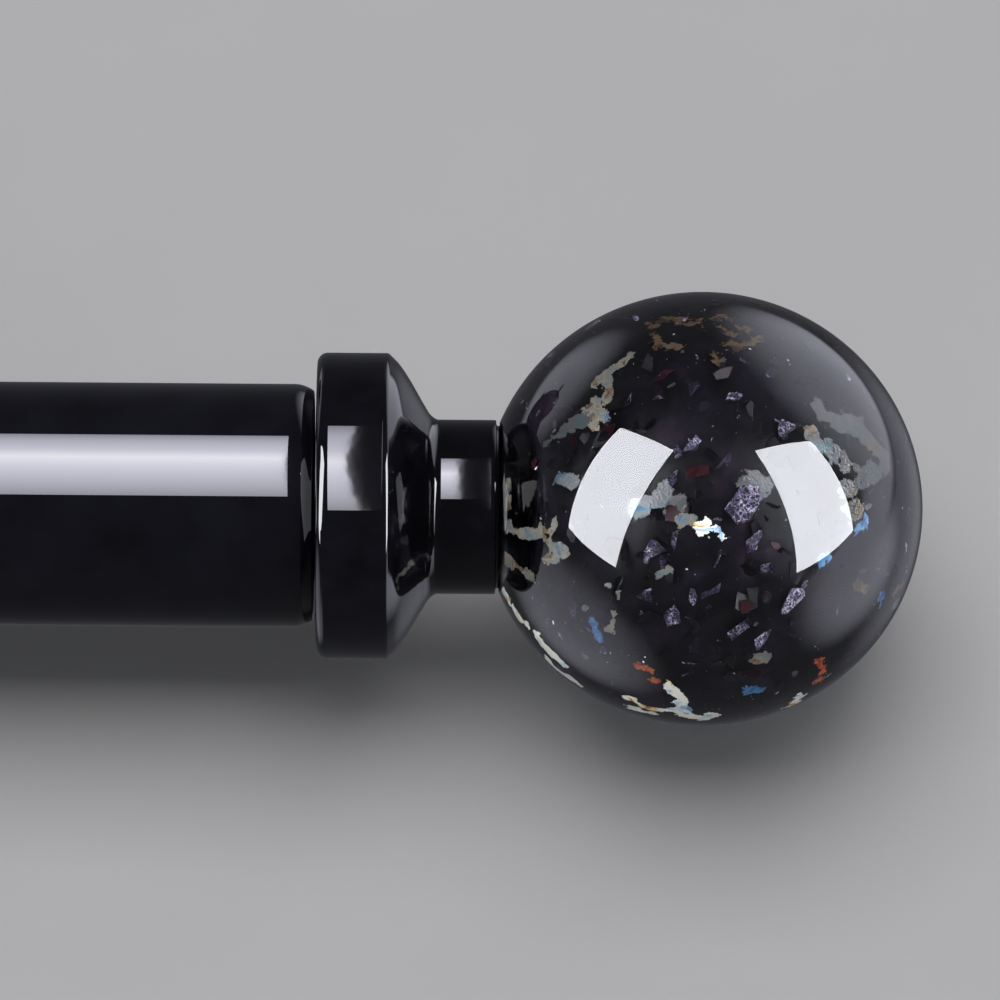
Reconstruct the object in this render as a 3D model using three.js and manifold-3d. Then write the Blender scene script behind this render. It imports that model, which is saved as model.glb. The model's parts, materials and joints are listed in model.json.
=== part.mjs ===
// A telescoping curtain rod with a clear ball finial on each end, held by two projecting wall brackets.
// Millimetres: +X runs along the rod to its right end, +Y points at the wall, +Z is up.
// The origin is the centre of the right wall plate's back face, in the plane of the wall.
// The tubes are pushed together, the brackets are at their shortest projection and every screw is tight.
import * as THREE from "three";
import { mergeVertices } from "three/addons/utils/BufferGeometryUtils.js";
import Module from "manifold-3d";

const wasm = await Module();
wasm.setup();

// ---- Overall sizes ----
const rodLength = 711; // between the two collars
const bracketInset = 75; // from a collar's face to the middle of the bracket beside it
const projection = 89; // from the wall to the rod's axis
const gap = 0.3; // between two pieces that touch
const past = 1; // how far a cutting shape runs beyond the face it opens
const fine = 32; // sides of the large round pieces
const medium = 24; // sides of the round pieces inside them
const coarse = 16; // sides of the small round pieces

// ---- Finishes ----
const finish = (color, roughness, metalness) =>
  new THREE.MeshStandardMaterial({ color, roughness, metalness });
const lacquer = finish("#101013", 0.12, 0.6);
const clearGlass = finish("#c9ced6", 0.03, 0);
clearGlass.transparent = true;
clearGlass.opacity = 0.35;
const darkGlass = finish("#0b0a0e", 0.15, 0);
const blackSteel = finish("#1a1a1d", 0.4, 0.8);
const zincSteel = finish("#a9abad", 0.35, 1);
const brass = finish("#b48a3c", 0.3, 1);
const rubber = finish("#1c1c1d", 0.8, 0);
const nylon = finish("#26262a", 0.55, 0);

// ---- Shape helpers ----

// A piece turned about +X. Each corner of its outline is [distance along the axis, radius], and the
// outline either begins and ends on the axis or closes on itself.
function turned(outline, sides = coarse) {
  const area = outline.reduce((sum, [along, radius], i) => {
    const [nextAlong, nextRadius] = outline[(i + 1) % outline.length];
    return sum + along * nextRadius - nextAlong * radius;
  }, 0);
  const points = outline.map(([along, radius]) => new THREE.Vector2(radius, along));
  if (outline[0][1] > 0) points.push(points[0].clone());
  if (area > 0) points.reverse();
  return new THREE.LatheGeometry(points, sides).rotateZ(-Math.PI / 2);
}

// A plain round bar or hole along +X.
function bar(from, to, radius, sides = coarse) {
  return turned([[from, 0], [from, radius], [to, radius], [to, 0]], sides);
}

// Corners along part of an ellipse about a point on the outline. Angle 0 points along +X.
function arc(along, radius, reachAlong, reachOut, from, to, steps) {
  return Array.from({ length: steps + 1 }, (_, i) => {
    const angle = THREE.MathUtils.degToRad(THREE.MathUtils.lerp(from, to, i / steps));
    return [along + reachAlong * Math.cos(angle), Math.max(0, radius + reachOut * Math.sin(angle))];
  });
}

function solidOf(geometry) {
  const bare = geometry.clone();
  bare.deleteAttribute("normal");
  bare.deleteAttribute("uv");
  const merged = mergeVertices(bare, 1e-4);
  const vertProperties = merged.attributes.position.array;
  return new wasm.Manifold(
    new wasm.Mesh({ numProp: 3, vertProperties, triVerts: new Uint32Array(merged.index.array) }),
  );
}

function geometryOf(solid) {
  const { vertProperties, triVerts } = solid.getMesh();
  return new THREE.BufferGeometry()
    .setAttribute("position", new THREE.BufferAttribute(vertProperties, 3))
    .setIndex(new THREE.BufferAttribute(triVerts, 1));
}

function cut(geometry, ...tools) {
  return geometryOf(tools.reduce((left, tool) => left.subtract(solidOf(tool)), solidOf(geometry)));
}

function join(geometry, ...others) {
  return geometryOf(others.reduce((whole, other) => whole.add(solidOf(other)), solidOf(geometry)));
}

function add(parent, name, geometry, material) {
  const mesh = new THREE.Mesh(geometry, material);
  mesh.name = name;
  geometry.computeVertexNormals();
  parent.add(mesh);
  return mesh;
}

// ---- Tubes ----
// Both tubes are measured from the face of their own collar, which is at 0, back along -X.
const shownBeyond = 30; // of the inner tube, between its bracket and the outer tube when pushed together
const tubeWall = 0.6;
const outerRadius = 12.7;
const slideRoom = 1.0; // between the outer tube's bore and the inner tube
const innerRadius = outerRadius - tubeWall - slideRoom;
const rollDrop = 0.7; // how far a tube's edge is rolled in
const rollLength = 2.1;

// The rod's end plug, the gasket outside it and the guide on the inner tube's hidden end
const gasketThickness = 1.2;
const plugDepth = gasketThickness + 2 * gap; // from the collar's face to the plug's
const plugLength = 15;
const guideWall = 2;
const guideFlange = 2;
const guideLength = 12; // of the part inside the tube
const stopGap = 1.9; // between the guide and the plug, with the rod pushed together
const outerLength = rodLength - bracketInset - shownBeyond;
const innerLength = rodLength - plugDepth - plugLength - stopGap - guideFlange - gap;

function tube(radius, length) {
  const steps = 3;
  const rolled = Array.from({ length: steps + 1 }, (_, i) => {
    const share = i / steps;
    return [-gap - rollLength * (1 - share), rollDrop * share ** 2];
  });
  const outside = rolled.map(([along, drop]) => [along, radius - drop]);
  const inside = rolled.map(([along, drop]) => [along, radius - tubeWall - drop]);
  return turned([[-length, radius], ...outside, ...inside.reverse(), [-length, radius - tubeWall]], fine);
}

// A ring in the outer tube's open end that the inner tube slides through.
function mouthRing() {
  const lip = 1.5;
  const edge = 0.4;
  const sleeve = 12;
  const bore = innerRadius + gap;
  const body = outerRadius - tubeWall - gap;
  const face = -outerLength - gap;
  return turned(
    [[face - lip, bore], [face - lip, outerRadius - edge], [face - lip + edge, outerRadius],
      [face, outerRadius], [face, body], [face + sleeve, body], [face + sleeve, bore]],
    medium,
  );
}

// A hollow plug on the inner tube's hidden end, whose flange centres it in the outer tube.
function innerGuide() {
  const end = -innerLength;
  const body = innerRadius - tubeWall - gap;
  const flange = outerRadius - tubeWall - gap;
  const bore = body - guideWall;
  return turned(
    [[end + guideLength, bore], [end + guideLength, body], [end - gap, body], [end - gap, flange],
      [end - gap - guideFlange, flange], [end - gap - guideFlange, bore]],
    medium,
  );
}

// ---- Finial: distances are from the collar's outer face, at 0, out along +X ----
const collarLip = 3.3; // that the collar stands out from the outer tube
const collarRadius = outerRadius + collarLip;
const collarLength = 7.4;
const collarRound = 1.0;
const shoulderLength = 5.1;
const neckRadius = 9.1;
const neckLength = 6.2;
const ballRadius = 22.65;
const ballReach = 23.1; // from the ball's middle to its tip, along the rod
const casingThickness = 5.2;
const spigotStep = 0.6; // how far the neck narrows where it goes into the ball
const studRadius = 3;
const studGrip = 14; // of the stud, inside the rod
const nutThickness = 5;
const nutAcross = 10; // across the flats
const nutRecess = 7; // radius of the pocket round the nut
const insertRadius = 6;
const insertLength = 13;
const insertBlind = 2; // thickness of the insert's closed end
const studRoom = 1; // between the stud's end and the insert's closed end

const neckEnd = collarLength + shoulderLength + neckLength;
const spigotRadius = neckRadius - spigotStep;
const socketRadius = spigotRadius + gap;
const coreRadius = ballRadius - casingThickness - gap;
const coreReach = ballReach - casingThickness - gap;
// How far before an ellipsoid's middle its surface has the given radius.
const slice = (reach, radius, at) => reach * Math.sqrt(1 - (at / radius) ** 2);
const ballMiddle = neckEnd + gap + slice(ballReach, ballRadius, neckRadius);
const coreFace = ballMiddle - slice(coreReach, coreRadius, socketRadius);
const spigotEnd = coreFace - gap;
const insertFace = coreFace + gap;
const insertEnd = insertFace + insertLength;
const studBore = studRadius + gap;

function collar() {
  const leaving = { along: 0.45, height: 0.75 }; // the shoulder leaves the rim sloping in
  const meeting = 0.8; // and runs out level along the neck
  const height = (share) => THREE.MathUtils.lerp(neckRadius, collarRadius, share);
  const shoulder = new THREE.CubicBezierCurve(
    new THREE.Vector2(collarLength, collarRadius),
    new THREE.Vector2(collarLength + leaving.along * shoulderLength, height(leaving.height)),
    new THREE.Vector2(collarLength + meeting * shoulderLength, neckRadius),
    new THREE.Vector2(collarLength + shoulderLength, neckRadius),
  );
  const pocket = nutThickness + 2 * gap;
  return turned(
    [[pocket, studBore], [pocket, nutRecess], [0, nutRecess],
      ...arc(collarRound, collarRadius - collarRound, collarRound, collarRound, 180, 90, 3),
      ...shoulder.getPoints(6).map(({ x, y }) => [x, y]),
      [neckEnd, neckRadius], [neckEnd, spigotRadius], [spigotEnd, spigotRadius], [spigotEnd, studBore]],
    fine,
  );
}

function ballCasing() {
  const socketAngle = 180 - THREE.MathUtils.radToDeg(Math.asin(socketRadius / ballRadius));
  const cavityRadius = ballRadius - casingThickness;
  const cavityReach = ballReach - casingThickness;
  const cavityAngle = 180 - THREE.MathUtils.radToDeg(Math.asin(socketRadius / cavityRadius));
  return turned(
    [...arc(ballMiddle, 0, ballReach, ballRadius, 0, socketAngle, 14),
      ...arc(ballMiddle, 0, cavityReach, cavityRadius, cavityAngle, 0, 8)],
    fine,
  );
}

function ballCore() {
  const faceAngle = 180 - THREE.MathUtils.radToDeg(Math.asin(socketRadius / coreRadius));
  const hole = insertRadius + gap;
  return turned(
    [...arc(ballMiddle, 0, coreReach, coreRadius, 0, faceAngle, 8),
      [coreFace, hole], [insertEnd + 2 * gap, hole], [insertEnd + 2 * gap, 0]],
    medium,
  );
}

// A brass bush with a groove that keys it into the ball.
function ballInsert() {
  const groove = { width: 2, depth: 0.6 };
  const floor = insertEnd - insertBlind;
  const outline = [[floor, 0], [floor, studBore], [insertFace, studBore], [insertFace, insertRadius]];
  const along = (insertFace + insertEnd - groove.width) / 2;
  outline.push([along, insertRadius], [along, insertRadius - groove.depth],
    [along + groove.width, insertRadius - groove.depth], [along + groove.width, insertRadius]);
  return turned([...outline, [insertEnd, insertRadius], [insertEnd, 0]]);
}

// A threaded rod with bevelled ends.
function stud(from, to, radius) {
  const bevel = 0.6;
  return turned([[from, 0], [from, radius - bevel], [from + bevel, radius],
    [to - bevel, radius], [to, radius - bevel], [to, 0]]);
}

function hexNut(from, thickness, across, bore) {
  const corner = across / Math.sqrt(3);
  const outline = new THREE.Shape(
    Array.from({ length: 6 }, (_, i) => {
      const angle = (i * Math.PI) / 3;
      return new THREE.Vector2(corner * Math.cos(angle), corner * Math.sin(angle));
    }),
  );
  outline.holes.push(new THREE.Path().absarc(0, 0, bore, 0, 2 * Math.PI, true));
  return new THREE.ExtrudeGeometry(outline, { depth: thickness, bevelEnabled: false, curveSegments: 12 })
    .rotateY(Math.PI / 2)
    .translate(from, 0, 0);
}

const bushRadius = 5;
const bushLength = 10;

function gasket(radius) {
  const bore = bushRadius + gap;
  const outside = radius - tubeWall - rollDrop - gap;
  return turned([[-gap - gasketThickness, bore], [-gap - gasketThickness, outside],
    [-gap, outside], [-gap, bore]], medium);
}

// A ribbed plug in the tube's end, with a pocket for the brass bush that the stud screws into.
function endPlug(radius) {
  const body = radius - tubeWall - gap;
  const rib = 0.6; // depth of the groove between the ribs
  const ribLength = 5;
  const grooveLength = 4;
  const chamfer = 1.2;
  const face = -plugDepth;
  const back = face - plugLength;
  const pocket = bushRadius + gap;
  const floor = face - gap - bushLength - gap;
  return turned(
    [[back, studBore], [back, body - rib], [back + rib, body], [back + ribLength, body],
      [back + ribLength, body - rib], [back + ribLength + grooveLength, body - rib],
      [back + ribLength + grooveLength, body], [face - chamfer, body], [face, body - chamfer],
      [face, pocket], [floor, pocket], [floor, studBore]],
  );
}

function plugBush() {
  const groove = { width: 2, depth: 0.4 };
  const face = -plugDepth - gap;
  const back = face - bushLength;
  const along = (face + back - groove.width) / 2;
  const waist = bushRadius - groove.depth;
  return turned([[back, studBore], [back, bushRadius], [along, bushRadius], [along, waist],
    [along + groove.width, waist], [along + groove.width, bushRadius], [face, bushRadius], [face, studBore]]);
}

// ---- One end of the rod: its tube, plug, gasket and finial ----
function rodEnd(side, tubeRadius) {
  const end = new THREE.Group();
  add(end, `end_plug_${side}`, endPlug(tubeRadius), nylon);
  add(end, `plug_bush_${side}`, plugBush(), brass);
  add(end, `gasket_${side}`, gasket(tubeRadius), rubber);
  add(end, `collar_${side}`, collar(), lacquer);
  add(end, `ball_casing_${side}`, ballCasing(), clearGlass);
  add(end, `ball_core_${side}`, ballCore(), darkGlass);
  add(end, `ball_insert_${side}`, ballInsert(), brass);
  add(end, `stud_${side}`, stud(-studGrip, insertEnd - insertBlind - studRoom, studRadius), zincSteel);
  add(end, `lock_nut_${side}`, hexNut(gap, nutThickness, nutAcross, studBore), zincSteel);
  return end;
}

// ---- Wall bracket: distances are from the wall, out along local +X, which the group turns to -Y ----
const plateRing = 11.5; // of the plate, round its boss
const plateThickness = 4;
const plateRound = 2.5;
const armRadius = 5;
const sleeveWall = 2.7;
const sleeveEnd = 48;
const bossWall = 2.7;
const bossHeight = 9;
const socketFloor = 3;
const armTail = 8; // from the wall to the arm's hidden end
const screwRadius = 2;
const screwHead = 4;
const screwReach = 30; // of a wall screw, behind the plate
const lockRadius = 2; // of the arm's lock screw
const lockInset = 7; // of the lock screw, from the sleeve's end

const sleeveBore = armRadius + gap;
const sleeveRadius = sleeveBore + sleeveWall;
const bossRadius = sleeveRadius + gap + bossWall;
const plateRadius = bossRadius + plateRing;
const screwOffset = (bossRadius + plateRadius - plateRound) / 2;

// The hole for a countersunk screw: its straight part begins at from, and its mouth opens through a face.
function countersink(from, face, radius, head) {
  return turned([[from, 0], [from, radius + gap], [face - head + radius - gap, radius + gap],
    [face + past, head + gap + past], [face + past, 0]]);
}

function wallPlate() {
  const bossRound = 1;
  const bossBore = sleeveRadius + gap;
  const disc = turned(
    [[0, 0], [0, plateRadius],
      ...arc(plateThickness - plateRound, plateRadius - plateRound, plateRound, plateRound, 90, 0, 3),
      [plateThickness, bossRadius], [bossHeight - bossRound, bossRadius],
      [bossHeight, bossRadius - bossRound], [bossHeight, bossBore], [socketFloor, bossBore],
      [socketFloor, 0]],
    fine,
  );
  const holes = [1, -1].map((way) =>
    countersink(-past, plateThickness, screwRadius, screwHead).translate(0, 0, way * screwOffset));
  return cut(disc, ...holes);
}

// A countersunk screw whose head is flush with a face at 0 and whose point is at -length.
function countersunkScrew(length, radius, head) {
  const point = 2 * radius;
  const body = turned([[-length, 0], [-length + point, radius], [radius - head, radius], [0, head], [0, 0]]);
  const slot = { wide: 0.9, long: 1.1 * head, deep: 0.9 };
  const driveSlots = [[slot.wide, slot.long], [slot.long, slot.wide]].map(([y, z]) =>
    new THREE.BoxGeometry(2 * slot.deep, y, z));
  return cut(body, ...driveSlots);
}

function sleeve() {
  const edge = 0.6;
  const start = socketFloor + gap;
  const tubeBody = turned([[start, sleeveBore], [start, sleeveRadius], [sleeveEnd - edge, sleeveRadius],
    [sleeveEnd, sleeveRadius - edge], [sleeveEnd, sleeveBore]], medium);
  const lockHole = bar(sleeveBore - past, sleeveRadius + past, lockRadius + gap)
    .rotateY(Math.PI / 2)
    .translate(sleeveEnd - lockInset, 0, 0);
  return cut(tubeBody, lockHole);
}

// The arm is a solid bar with a threaded hole in its front end for the cradle's screw.
const cradleScrewRadius = 2;
const cradleScrewLength = 14;

function arm(front) {
  const edge = 0.6;
  const bore = cradleScrewRadius + gap;
  const floor = front - cradleScrewLength;
  return turned([[armTail, 0], [armTail, armRadius - edge], [armTail + edge, armRadius],
    [front - edge, armRadius], [front, armRadius - edge], [front, bore], [floor, bore], [floor, 0]]);
}

// ---- Cradle: an open-topped trough about the rod's axis, which is at 0 ----
const cradleWidth = 14;
const cradleThickness = 3;
const padThickness = 1.5; // round the outer tube; the pad on the inner tube is thicker to match
const padInset = 1; // of the pad, from the cradle's edges
const frontHeight = 6;
const backHeight = 8;
const cradleBevel = 0.4;
const thumbRadius = 2.5;
const thumbBoss = 5.5;
const bossReach = 2.5;

const cradleInner = outerRadius + gap + padThickness + gap;
const cradleOuter = cradleInner + cradleThickness;

// A trough's outline: half round below its centre, with straight sides that are round at their tips.
function trough(inner, outer, front, back, width, bevel) {
  const middle = (inner + outer) / 2;
  const tip = (outer - inner) / 2;
  const outline = new THREE.Shape()
    .moveTo(-outer, 0)
    .absarc(0, 0, outer, Math.PI, 2 * Math.PI, false)
    .absarc(middle, back, tip, 0, Math.PI, false)
    .absarc(0, 0, inner, 2 * Math.PI, Math.PI, true)
    .absarc(-middle, front, tip, 0, Math.PI, false);
  const standing = new THREE.Matrix4().makeBasis(
    new THREE.Vector3(0, 1, 0), new THREE.Vector3(0, 0, 1), new THREE.Vector3(1, 0, 0));
  return new THREE.ExtrudeGeometry(outline, {
    depth: width - 2 * bevel,
    curveSegments: 10,
    bevelEnabled: bevel > 0,
    bevelThickness: bevel,
    bevelSize: bevel,
    bevelOffset: -bevel,
    bevelSegments: 1,
  })
    .translate(0, 0, bevel - width / 2)
    .applyMatrix4(standing);
}

// A bar along Y through the cradle's middle; the front of the rod is at -Y.
const crossBar = (from, to, radius) => bar(from, to, radius).rotateZ(Math.PI / 2);

function cradle() {
  const body = trough(cradleInner, cradleOuter, frontHeight, backHeight, cradleWidth, cradleBevel);
  const boss = crossBar(-cradleOuter - bossReach, -cradleOuter + past, thumbBoss);
  const thumbHole = crossBar(-cradleOuter - bossReach - past, -cradleInner + past, thumbRadius + gap);
  const screwHole = countersink(-cradleOuter - past, -cradleInner, cradleScrewRadius, screwHead)
    .rotateZ(-Math.PI / 2);
  return cut(join(body, boss), thumbHole, screwHole);
}

function cradlePad(tubeRadius) {
  const inner = tubeRadius + gap;
  const outer = cradleInner - gap;
  const front = frontHeight - padInset;
  const back = backHeight - padInset;
  const body = trough(inner, outer, front, back, cradleWidth - 2 * padInset, 0);
  return cut(body, crossBar(-outer - past, -inner + past, thumbRadius + gap),
    crossBar(inner - past, outer + past, screwHead + gap));
}

// ---- Thumb screws: each points along +X, with its tip at 0 ----
const tipLength = 1.5;
const tipStep = 0.3; // that a tip is slimmer than its screw
const headLength = 5;
const headRoom = 3; // between a tight screw's head and the face that it screws through
const thumbHead = 6.5;
const lockHead = 5.5;

function knurledHead(from, radius, length) {
  const ridges = 18;
  const depth = 0.5;
  const outline = new THREE.Shape(
    Array.from({ length: 2 * ridges }, (_, i) => {
      const angle = (i * Math.PI) / ridges;
      const reach = radius - (i % 2) * depth;
      return new THREE.Vector2(reach * Math.cos(angle), reach * Math.sin(angle));
    }),
  );
  return new THREE.ExtrudeGeometry(outline, { depth: length, bevelEnabled: false })
    .rotateY(Math.PI / 2)
    .translate(from, 0, 0);
}

function thumbTip(radius) {
  const edge = 0.5;
  return turned([[0, 0], [0, radius - edge], [edge, radius], [tipLength, radius], [tipLength, 0]]);
}

// A screw whose hole opens at mouth, counted from its tip's end.
function thumbScrew(radius, mouth, headRadius) {
  const start = tipLength + gap;
  const waist = { length: 1.2, radius: headRadius - 2 };
  const dome = { length: 0.6, drop: 0.8, sunk: 0.5 };
  const waistStart = mouth + headRoom;
  const headStart = waistStart + waist.length;
  const headEnd = headStart + headLength;
  const rod = turned([[start, 0], [start, radius], [waistStart, radius], [waistStart, waist.radius],
    [headStart + dome.sunk, waist.radius], [headStart + dome.sunk, 0]]);
  const cap = turned([[headEnd - dome.sunk, 0], [headEnd - dome.sunk, waist.radius + dome.drop],
    [headEnd + dome.length, waist.radius], [headEnd + dome.length, 0]]);
  return join(rod, knurledHead(headStart, headRadius, headLength), cap);
}

// ---- One bracket: the part on the wall, the arm that slides in it and the cradle on the arm ----
function bracket(side, tubeRadius) {
  const whole = new THREE.Group();

  const out = new THREE.Group(); // local +X is away from the wall
  out.rotation.z = -Math.PI / 2;
  whole.add(out);
  add(out, `wall_plate_${side}`, wallPlate(), lacquer);
  add(out, `sleeve_${side}`, sleeve(), lacquer);
  add(out, `arm_${side}`, arm(projection - cradleOuter - gap), lacquer);
  for (const [place, way] of [["upper", 1], ["lower", -1]]) {
    const screw = countersunkScrew(plateThickness + screwReach, screwRadius, screwHead);
    add(out, `wall_screw_${side}_${place}`, screw, blackSteel)
      .position.set(plateThickness, 0, way * screwOffset);
  }

  const hold = new THREE.Group(); // about the rod's axis
  hold.position.y = -projection;
  whole.add(hold);
  add(hold, `cradle_${side}`, cradle(), lacquer);
  add(hold, `cradle_pad_${side}`, cradlePad(tubeRadius), rubber);
  const cradleScrew = add(hold, `cradle_screw_${side}`,
    countersunkScrew(cradleScrewLength, cradleScrewRadius, screwHead), blackSteel);
  cradleScrew.rotation.z = -Math.PI / 2;
  cradleScrew.position.y = cradleInner + gap;

  const thumb = new THREE.Group();
  const thumbMouth = cradleOuter + bossReach - tubeRadius - gap;
  thumb.rotation.z = -Math.PI / 2;
  thumb.position.y = -tubeRadius - gap;
  hold.add(thumb);
  add(thumb, `thumb_tip_${side}`, thumbTip(thumbRadius - tipStep), nylon);
  add(thumb, `thumb_screw_${side}`, thumbScrew(thumbRadius, thumbMouth, thumbHead), blackSteel);

  const lock = new THREE.Group();
  const lockMouth = sleeveRadius - armRadius - gap;
  lock.rotation.y = Math.PI / 2;
  lock.position.set(0, lockInset - sleeveEnd, -armRadius - gap);
  whole.add(lock);
  add(lock, `lock_tip_${side}`, thumbTip(lockRadius - tipStep), nylon);
  add(lock, `lock_screw_${side}`, thumbScrew(lockRadius, lockMouth, lockHead), blackSteel);
  return whole;
}

// ---- The whole set ----
const set = new THREE.Group();

const rightBracket = bracket("right", outerRadius);
const leftBracket = bracket("left", innerRadius);
leftBracket.position.x = 2 * bracketInset - rodLength;
set.add(rightBracket, leftBracket);

const rightEnd = rodEnd("right", outerRadius);
rightEnd.position.set(bracketInset, -projection, 0);
add(rightEnd, "outer_tube", tube(outerRadius, outerLength), lacquer);
add(rightEnd, "mouth_ring", mouthRing(), nylon);

const leftEnd = rodEnd("left", innerRadius);
leftEnd.position.set(bracketInset - rodLength, -projection, 0);
leftEnd.rotation.z = Math.PI;
add(leftEnd, "inner_tube", tube(innerRadius, innerLength), lacquer);
add(leftEnd, "inner_guide", innerGuide(), nylon);
set.add(rightEnd, leftEnd);

export default set;
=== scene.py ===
import json
import math

import bmesh
import bpy
from mathutils import Matrix, Vector


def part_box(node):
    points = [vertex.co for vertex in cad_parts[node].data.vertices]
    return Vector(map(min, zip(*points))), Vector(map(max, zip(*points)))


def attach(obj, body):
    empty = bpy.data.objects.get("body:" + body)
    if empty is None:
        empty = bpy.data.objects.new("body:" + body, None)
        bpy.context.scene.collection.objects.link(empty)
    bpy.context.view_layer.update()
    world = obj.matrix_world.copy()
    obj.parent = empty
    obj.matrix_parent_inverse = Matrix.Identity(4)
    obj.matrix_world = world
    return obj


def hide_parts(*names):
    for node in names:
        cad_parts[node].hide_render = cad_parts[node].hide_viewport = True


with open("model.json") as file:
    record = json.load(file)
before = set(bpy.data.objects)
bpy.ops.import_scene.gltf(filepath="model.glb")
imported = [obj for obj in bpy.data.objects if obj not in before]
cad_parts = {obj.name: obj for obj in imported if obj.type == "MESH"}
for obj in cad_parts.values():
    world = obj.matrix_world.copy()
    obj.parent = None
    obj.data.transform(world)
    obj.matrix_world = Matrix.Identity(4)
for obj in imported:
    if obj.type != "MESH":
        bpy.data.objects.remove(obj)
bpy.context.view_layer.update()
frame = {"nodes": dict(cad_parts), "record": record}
print("frame loaded:", len(frame["nodes"]), "nodes")

mm = 0.001
scene = bpy.context.scene
scene.view_settings.view_transform = "Standard"
nodeBoxes = {name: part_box(name) for name in frame["nodes"]}
bodyOf = {node: body for body, nodes in frame["record"]["behaviour"]["bodies"].items() for node in nodes}
hands = ("right", "left")
alongRod, outFromWall, up = Vector((1, 0, 0)), Vector((0, -1, 0)), Vector((0, 0, 1))


def middle(name):
    low, high = nodeBoxes[name]
    return (low + high) / 2


def colour(hexText):
    # an sRGB hex value as the linear colour that a shader takes
    channels = [int(hexText[i : i + 2], 16) / 255 for i in (1, 3, 5)]
    linear = [c / 12.92 if c <= 0.04045 else ((c + 0.055) / 1.055) ** 2.4 for c in channels]
    return (*linear, 1.0)


def joinInputs(tree, node, inputs):
    # each input takes a value, a socket, or one or more nodes by their first live output
    for name, value in inputs.items():
        for source in value if isinstance(value, list) else [value]:
            if isinstance(source, bpy.types.Node):
                source = next(output for output in source.outputs if output.enabled)
            if isinstance(source, bpy.types.NodeSocket):
                tree.links.new(source, node.inputs[name])
            else:
                node.inputs[name].default_value = source


def addNode(tree, kind, settings=None, inputs=None, stops=None):
    # settings are the node's own properties; stops are a colour ramp's places and colours
    node = tree.nodes.new(kind)
    for name, value in (settings or {}).items():
        setattr(node, name, value)
    if stops:
        elements = node.color_ramp.elements
        while len(elements) < len(stops):
            elements.new(0.5)
        for element, (position, hexText) in zip(elements, stops):
            element.position = position
            element.color = colour(hexText)
    joinInputs(tree, node, inputs or {})
    return node


def perSize(size):
    # the scale that makes a pattern's largest shapes measure size, in millimetres
    return 1 / (size * mm)


def newMaterial(name):
    # a material with its shader and the piece's own coordinates
    material = bpy.data.materials.new(name)
    material.use_nodes = True
    tree = material.node_tree
    tree.nodes.clear()
    shader = addNode(tree, "ShaderNodeBsdfPrincipled")
    addNode(tree, "ShaderNodeOutputMaterial", inputs={"Surface": shader})
    place = addNode(tree, "ShaderNodeTexCoord").outputs["Object"]
    return material, tree, shader, place


def blackLacquer(name, peelSize, peelDepth):
    # stoved black lacquer on steel: a deep wet gloss, with faint orange peel where it lies thick
    material, tree, shader, place = newMaterial(name)
    peel = addNode(
        tree,
        "ShaderNodeTexNoise",
        inputs={"Vector": place, "Scale": perSize(peelSize), "Detail": 2.0, "Roughness": 0.45},
    )
    tone = addNode(tree, "ShaderNodeValToRGB", inputs={"Fac": peel}, stops=[(0.3, "#020203"), (0.7, "#040406")])
    haze = addNode(
        tree,
        "ShaderNodeTexNoise",
        inputs={"Vector": place, "Scale": perSize(0.8), "Detail": 4.0, "Roughness": 0.6},
    )
    gloss = addNode(tree, "ShaderNodeMapRange", inputs={"Value": haze, "To Min": 0.012, "To Max": 0.022})
    dents = addNode(tree, "ShaderNodeBump", inputs={"Height": peel, "Distance": peelDepth * mm})
    joinInputs(tree, shader, {"Base Color": tone, "Roughness": gloss, "Normal": dents, "IOR": 1.52})
    return material


def clearGlass():
    # cast clear glass, fire polished: sharp reflections and almost no ripple
    material, tree, shader, place = newMaterial("clearGlass")
    ripple = addNode(
        tree,
        "ShaderNodeTexNoise",
        inputs={"Vector": place, "Scale": perSize(6.0), "Detail": 1.0, "Roughness": 0.6},
    )
    waves = addNode(tree, "ShaderNodeBump", inputs={"Height": ripple, "Distance": 0.006 * mm})
    body = {"Base Color": colour("#f4f6f8"), "Roughness": 0.0, "IOR": 1.5, "Transmission Weight": 1.0}
    joinInputs(tree, shader, {**body, "Normal": waves})
    return material


def bondedFace():
    # the casing's inner wall, glued to what it covers, so that light passes it unbent
    material = bpy.data.materials.new("bondedFace")
    material.use_nodes = True
    tree = material.node_tree
    tree.nodes.clear()
    clear = addNode(tree, "ShaderNodeBsdfTransparent")
    addNode(tree, "ShaderNodeOutputMaterial", inputs={"Surface": clear})
    return material


def darkGlass():
    # the ball's heart: near-black glass, clouded with plum and blue where frit has melted into it
    material, tree, shader, place = newMaterial("darkGlass")
    cloud = addNode(
        tree,
        "ShaderNodeTexNoise",
        inputs={"Vector": place, "Scale": perSize(4.5), "Detail": 7.0, "Roughness": 0.7},
    )
    stops = [(0.36, "#020203"), (0.48, "#07070b"), (0.56, "#0d0c13"), (0.63, "#1d101b"), (0.7, "#12151f")]
    tone = addNode(tree, "ShaderNodeValToRGB", inputs={"Fac": cloud}, stops=stops)
    joinInputs(tree, shader, {"Base Color": tone, "Roughness": 0.4, "Specular IOR Level": 0.1})
    return material


def crackedCells(tree, place, size):
    # the distance to the nearest break between warped cells of the given size
    wide = {"Vector": place, "Scale": 0.6 * perSize(size), "Detail": 3.0}
    drift = addNode(tree, "ShaderNodeTexNoise", inputs=wide).outputs["Color"]
    shift = addNode(tree, "ShaderNodeVectorMath", {"operation": "SUBTRACT"}, {0: drift, 1: (0.5, 0.5, 0.5)})
    warp = addNode(tree, "ShaderNodeVectorMath", {"operation": "SCALE"}, {0: shift, "Scale": 2.4 * size * mm})
    warped = addNode(tree, "ShaderNodeVectorMath", inputs={0: place, 1: warp})
    edges = {"feature": "DISTANCE_TO_EDGE"}
    return addNode(tree, "ShaderNodeTexVoronoi", edges, {"Vector": warped, "Scale": perSize(size)})


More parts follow.
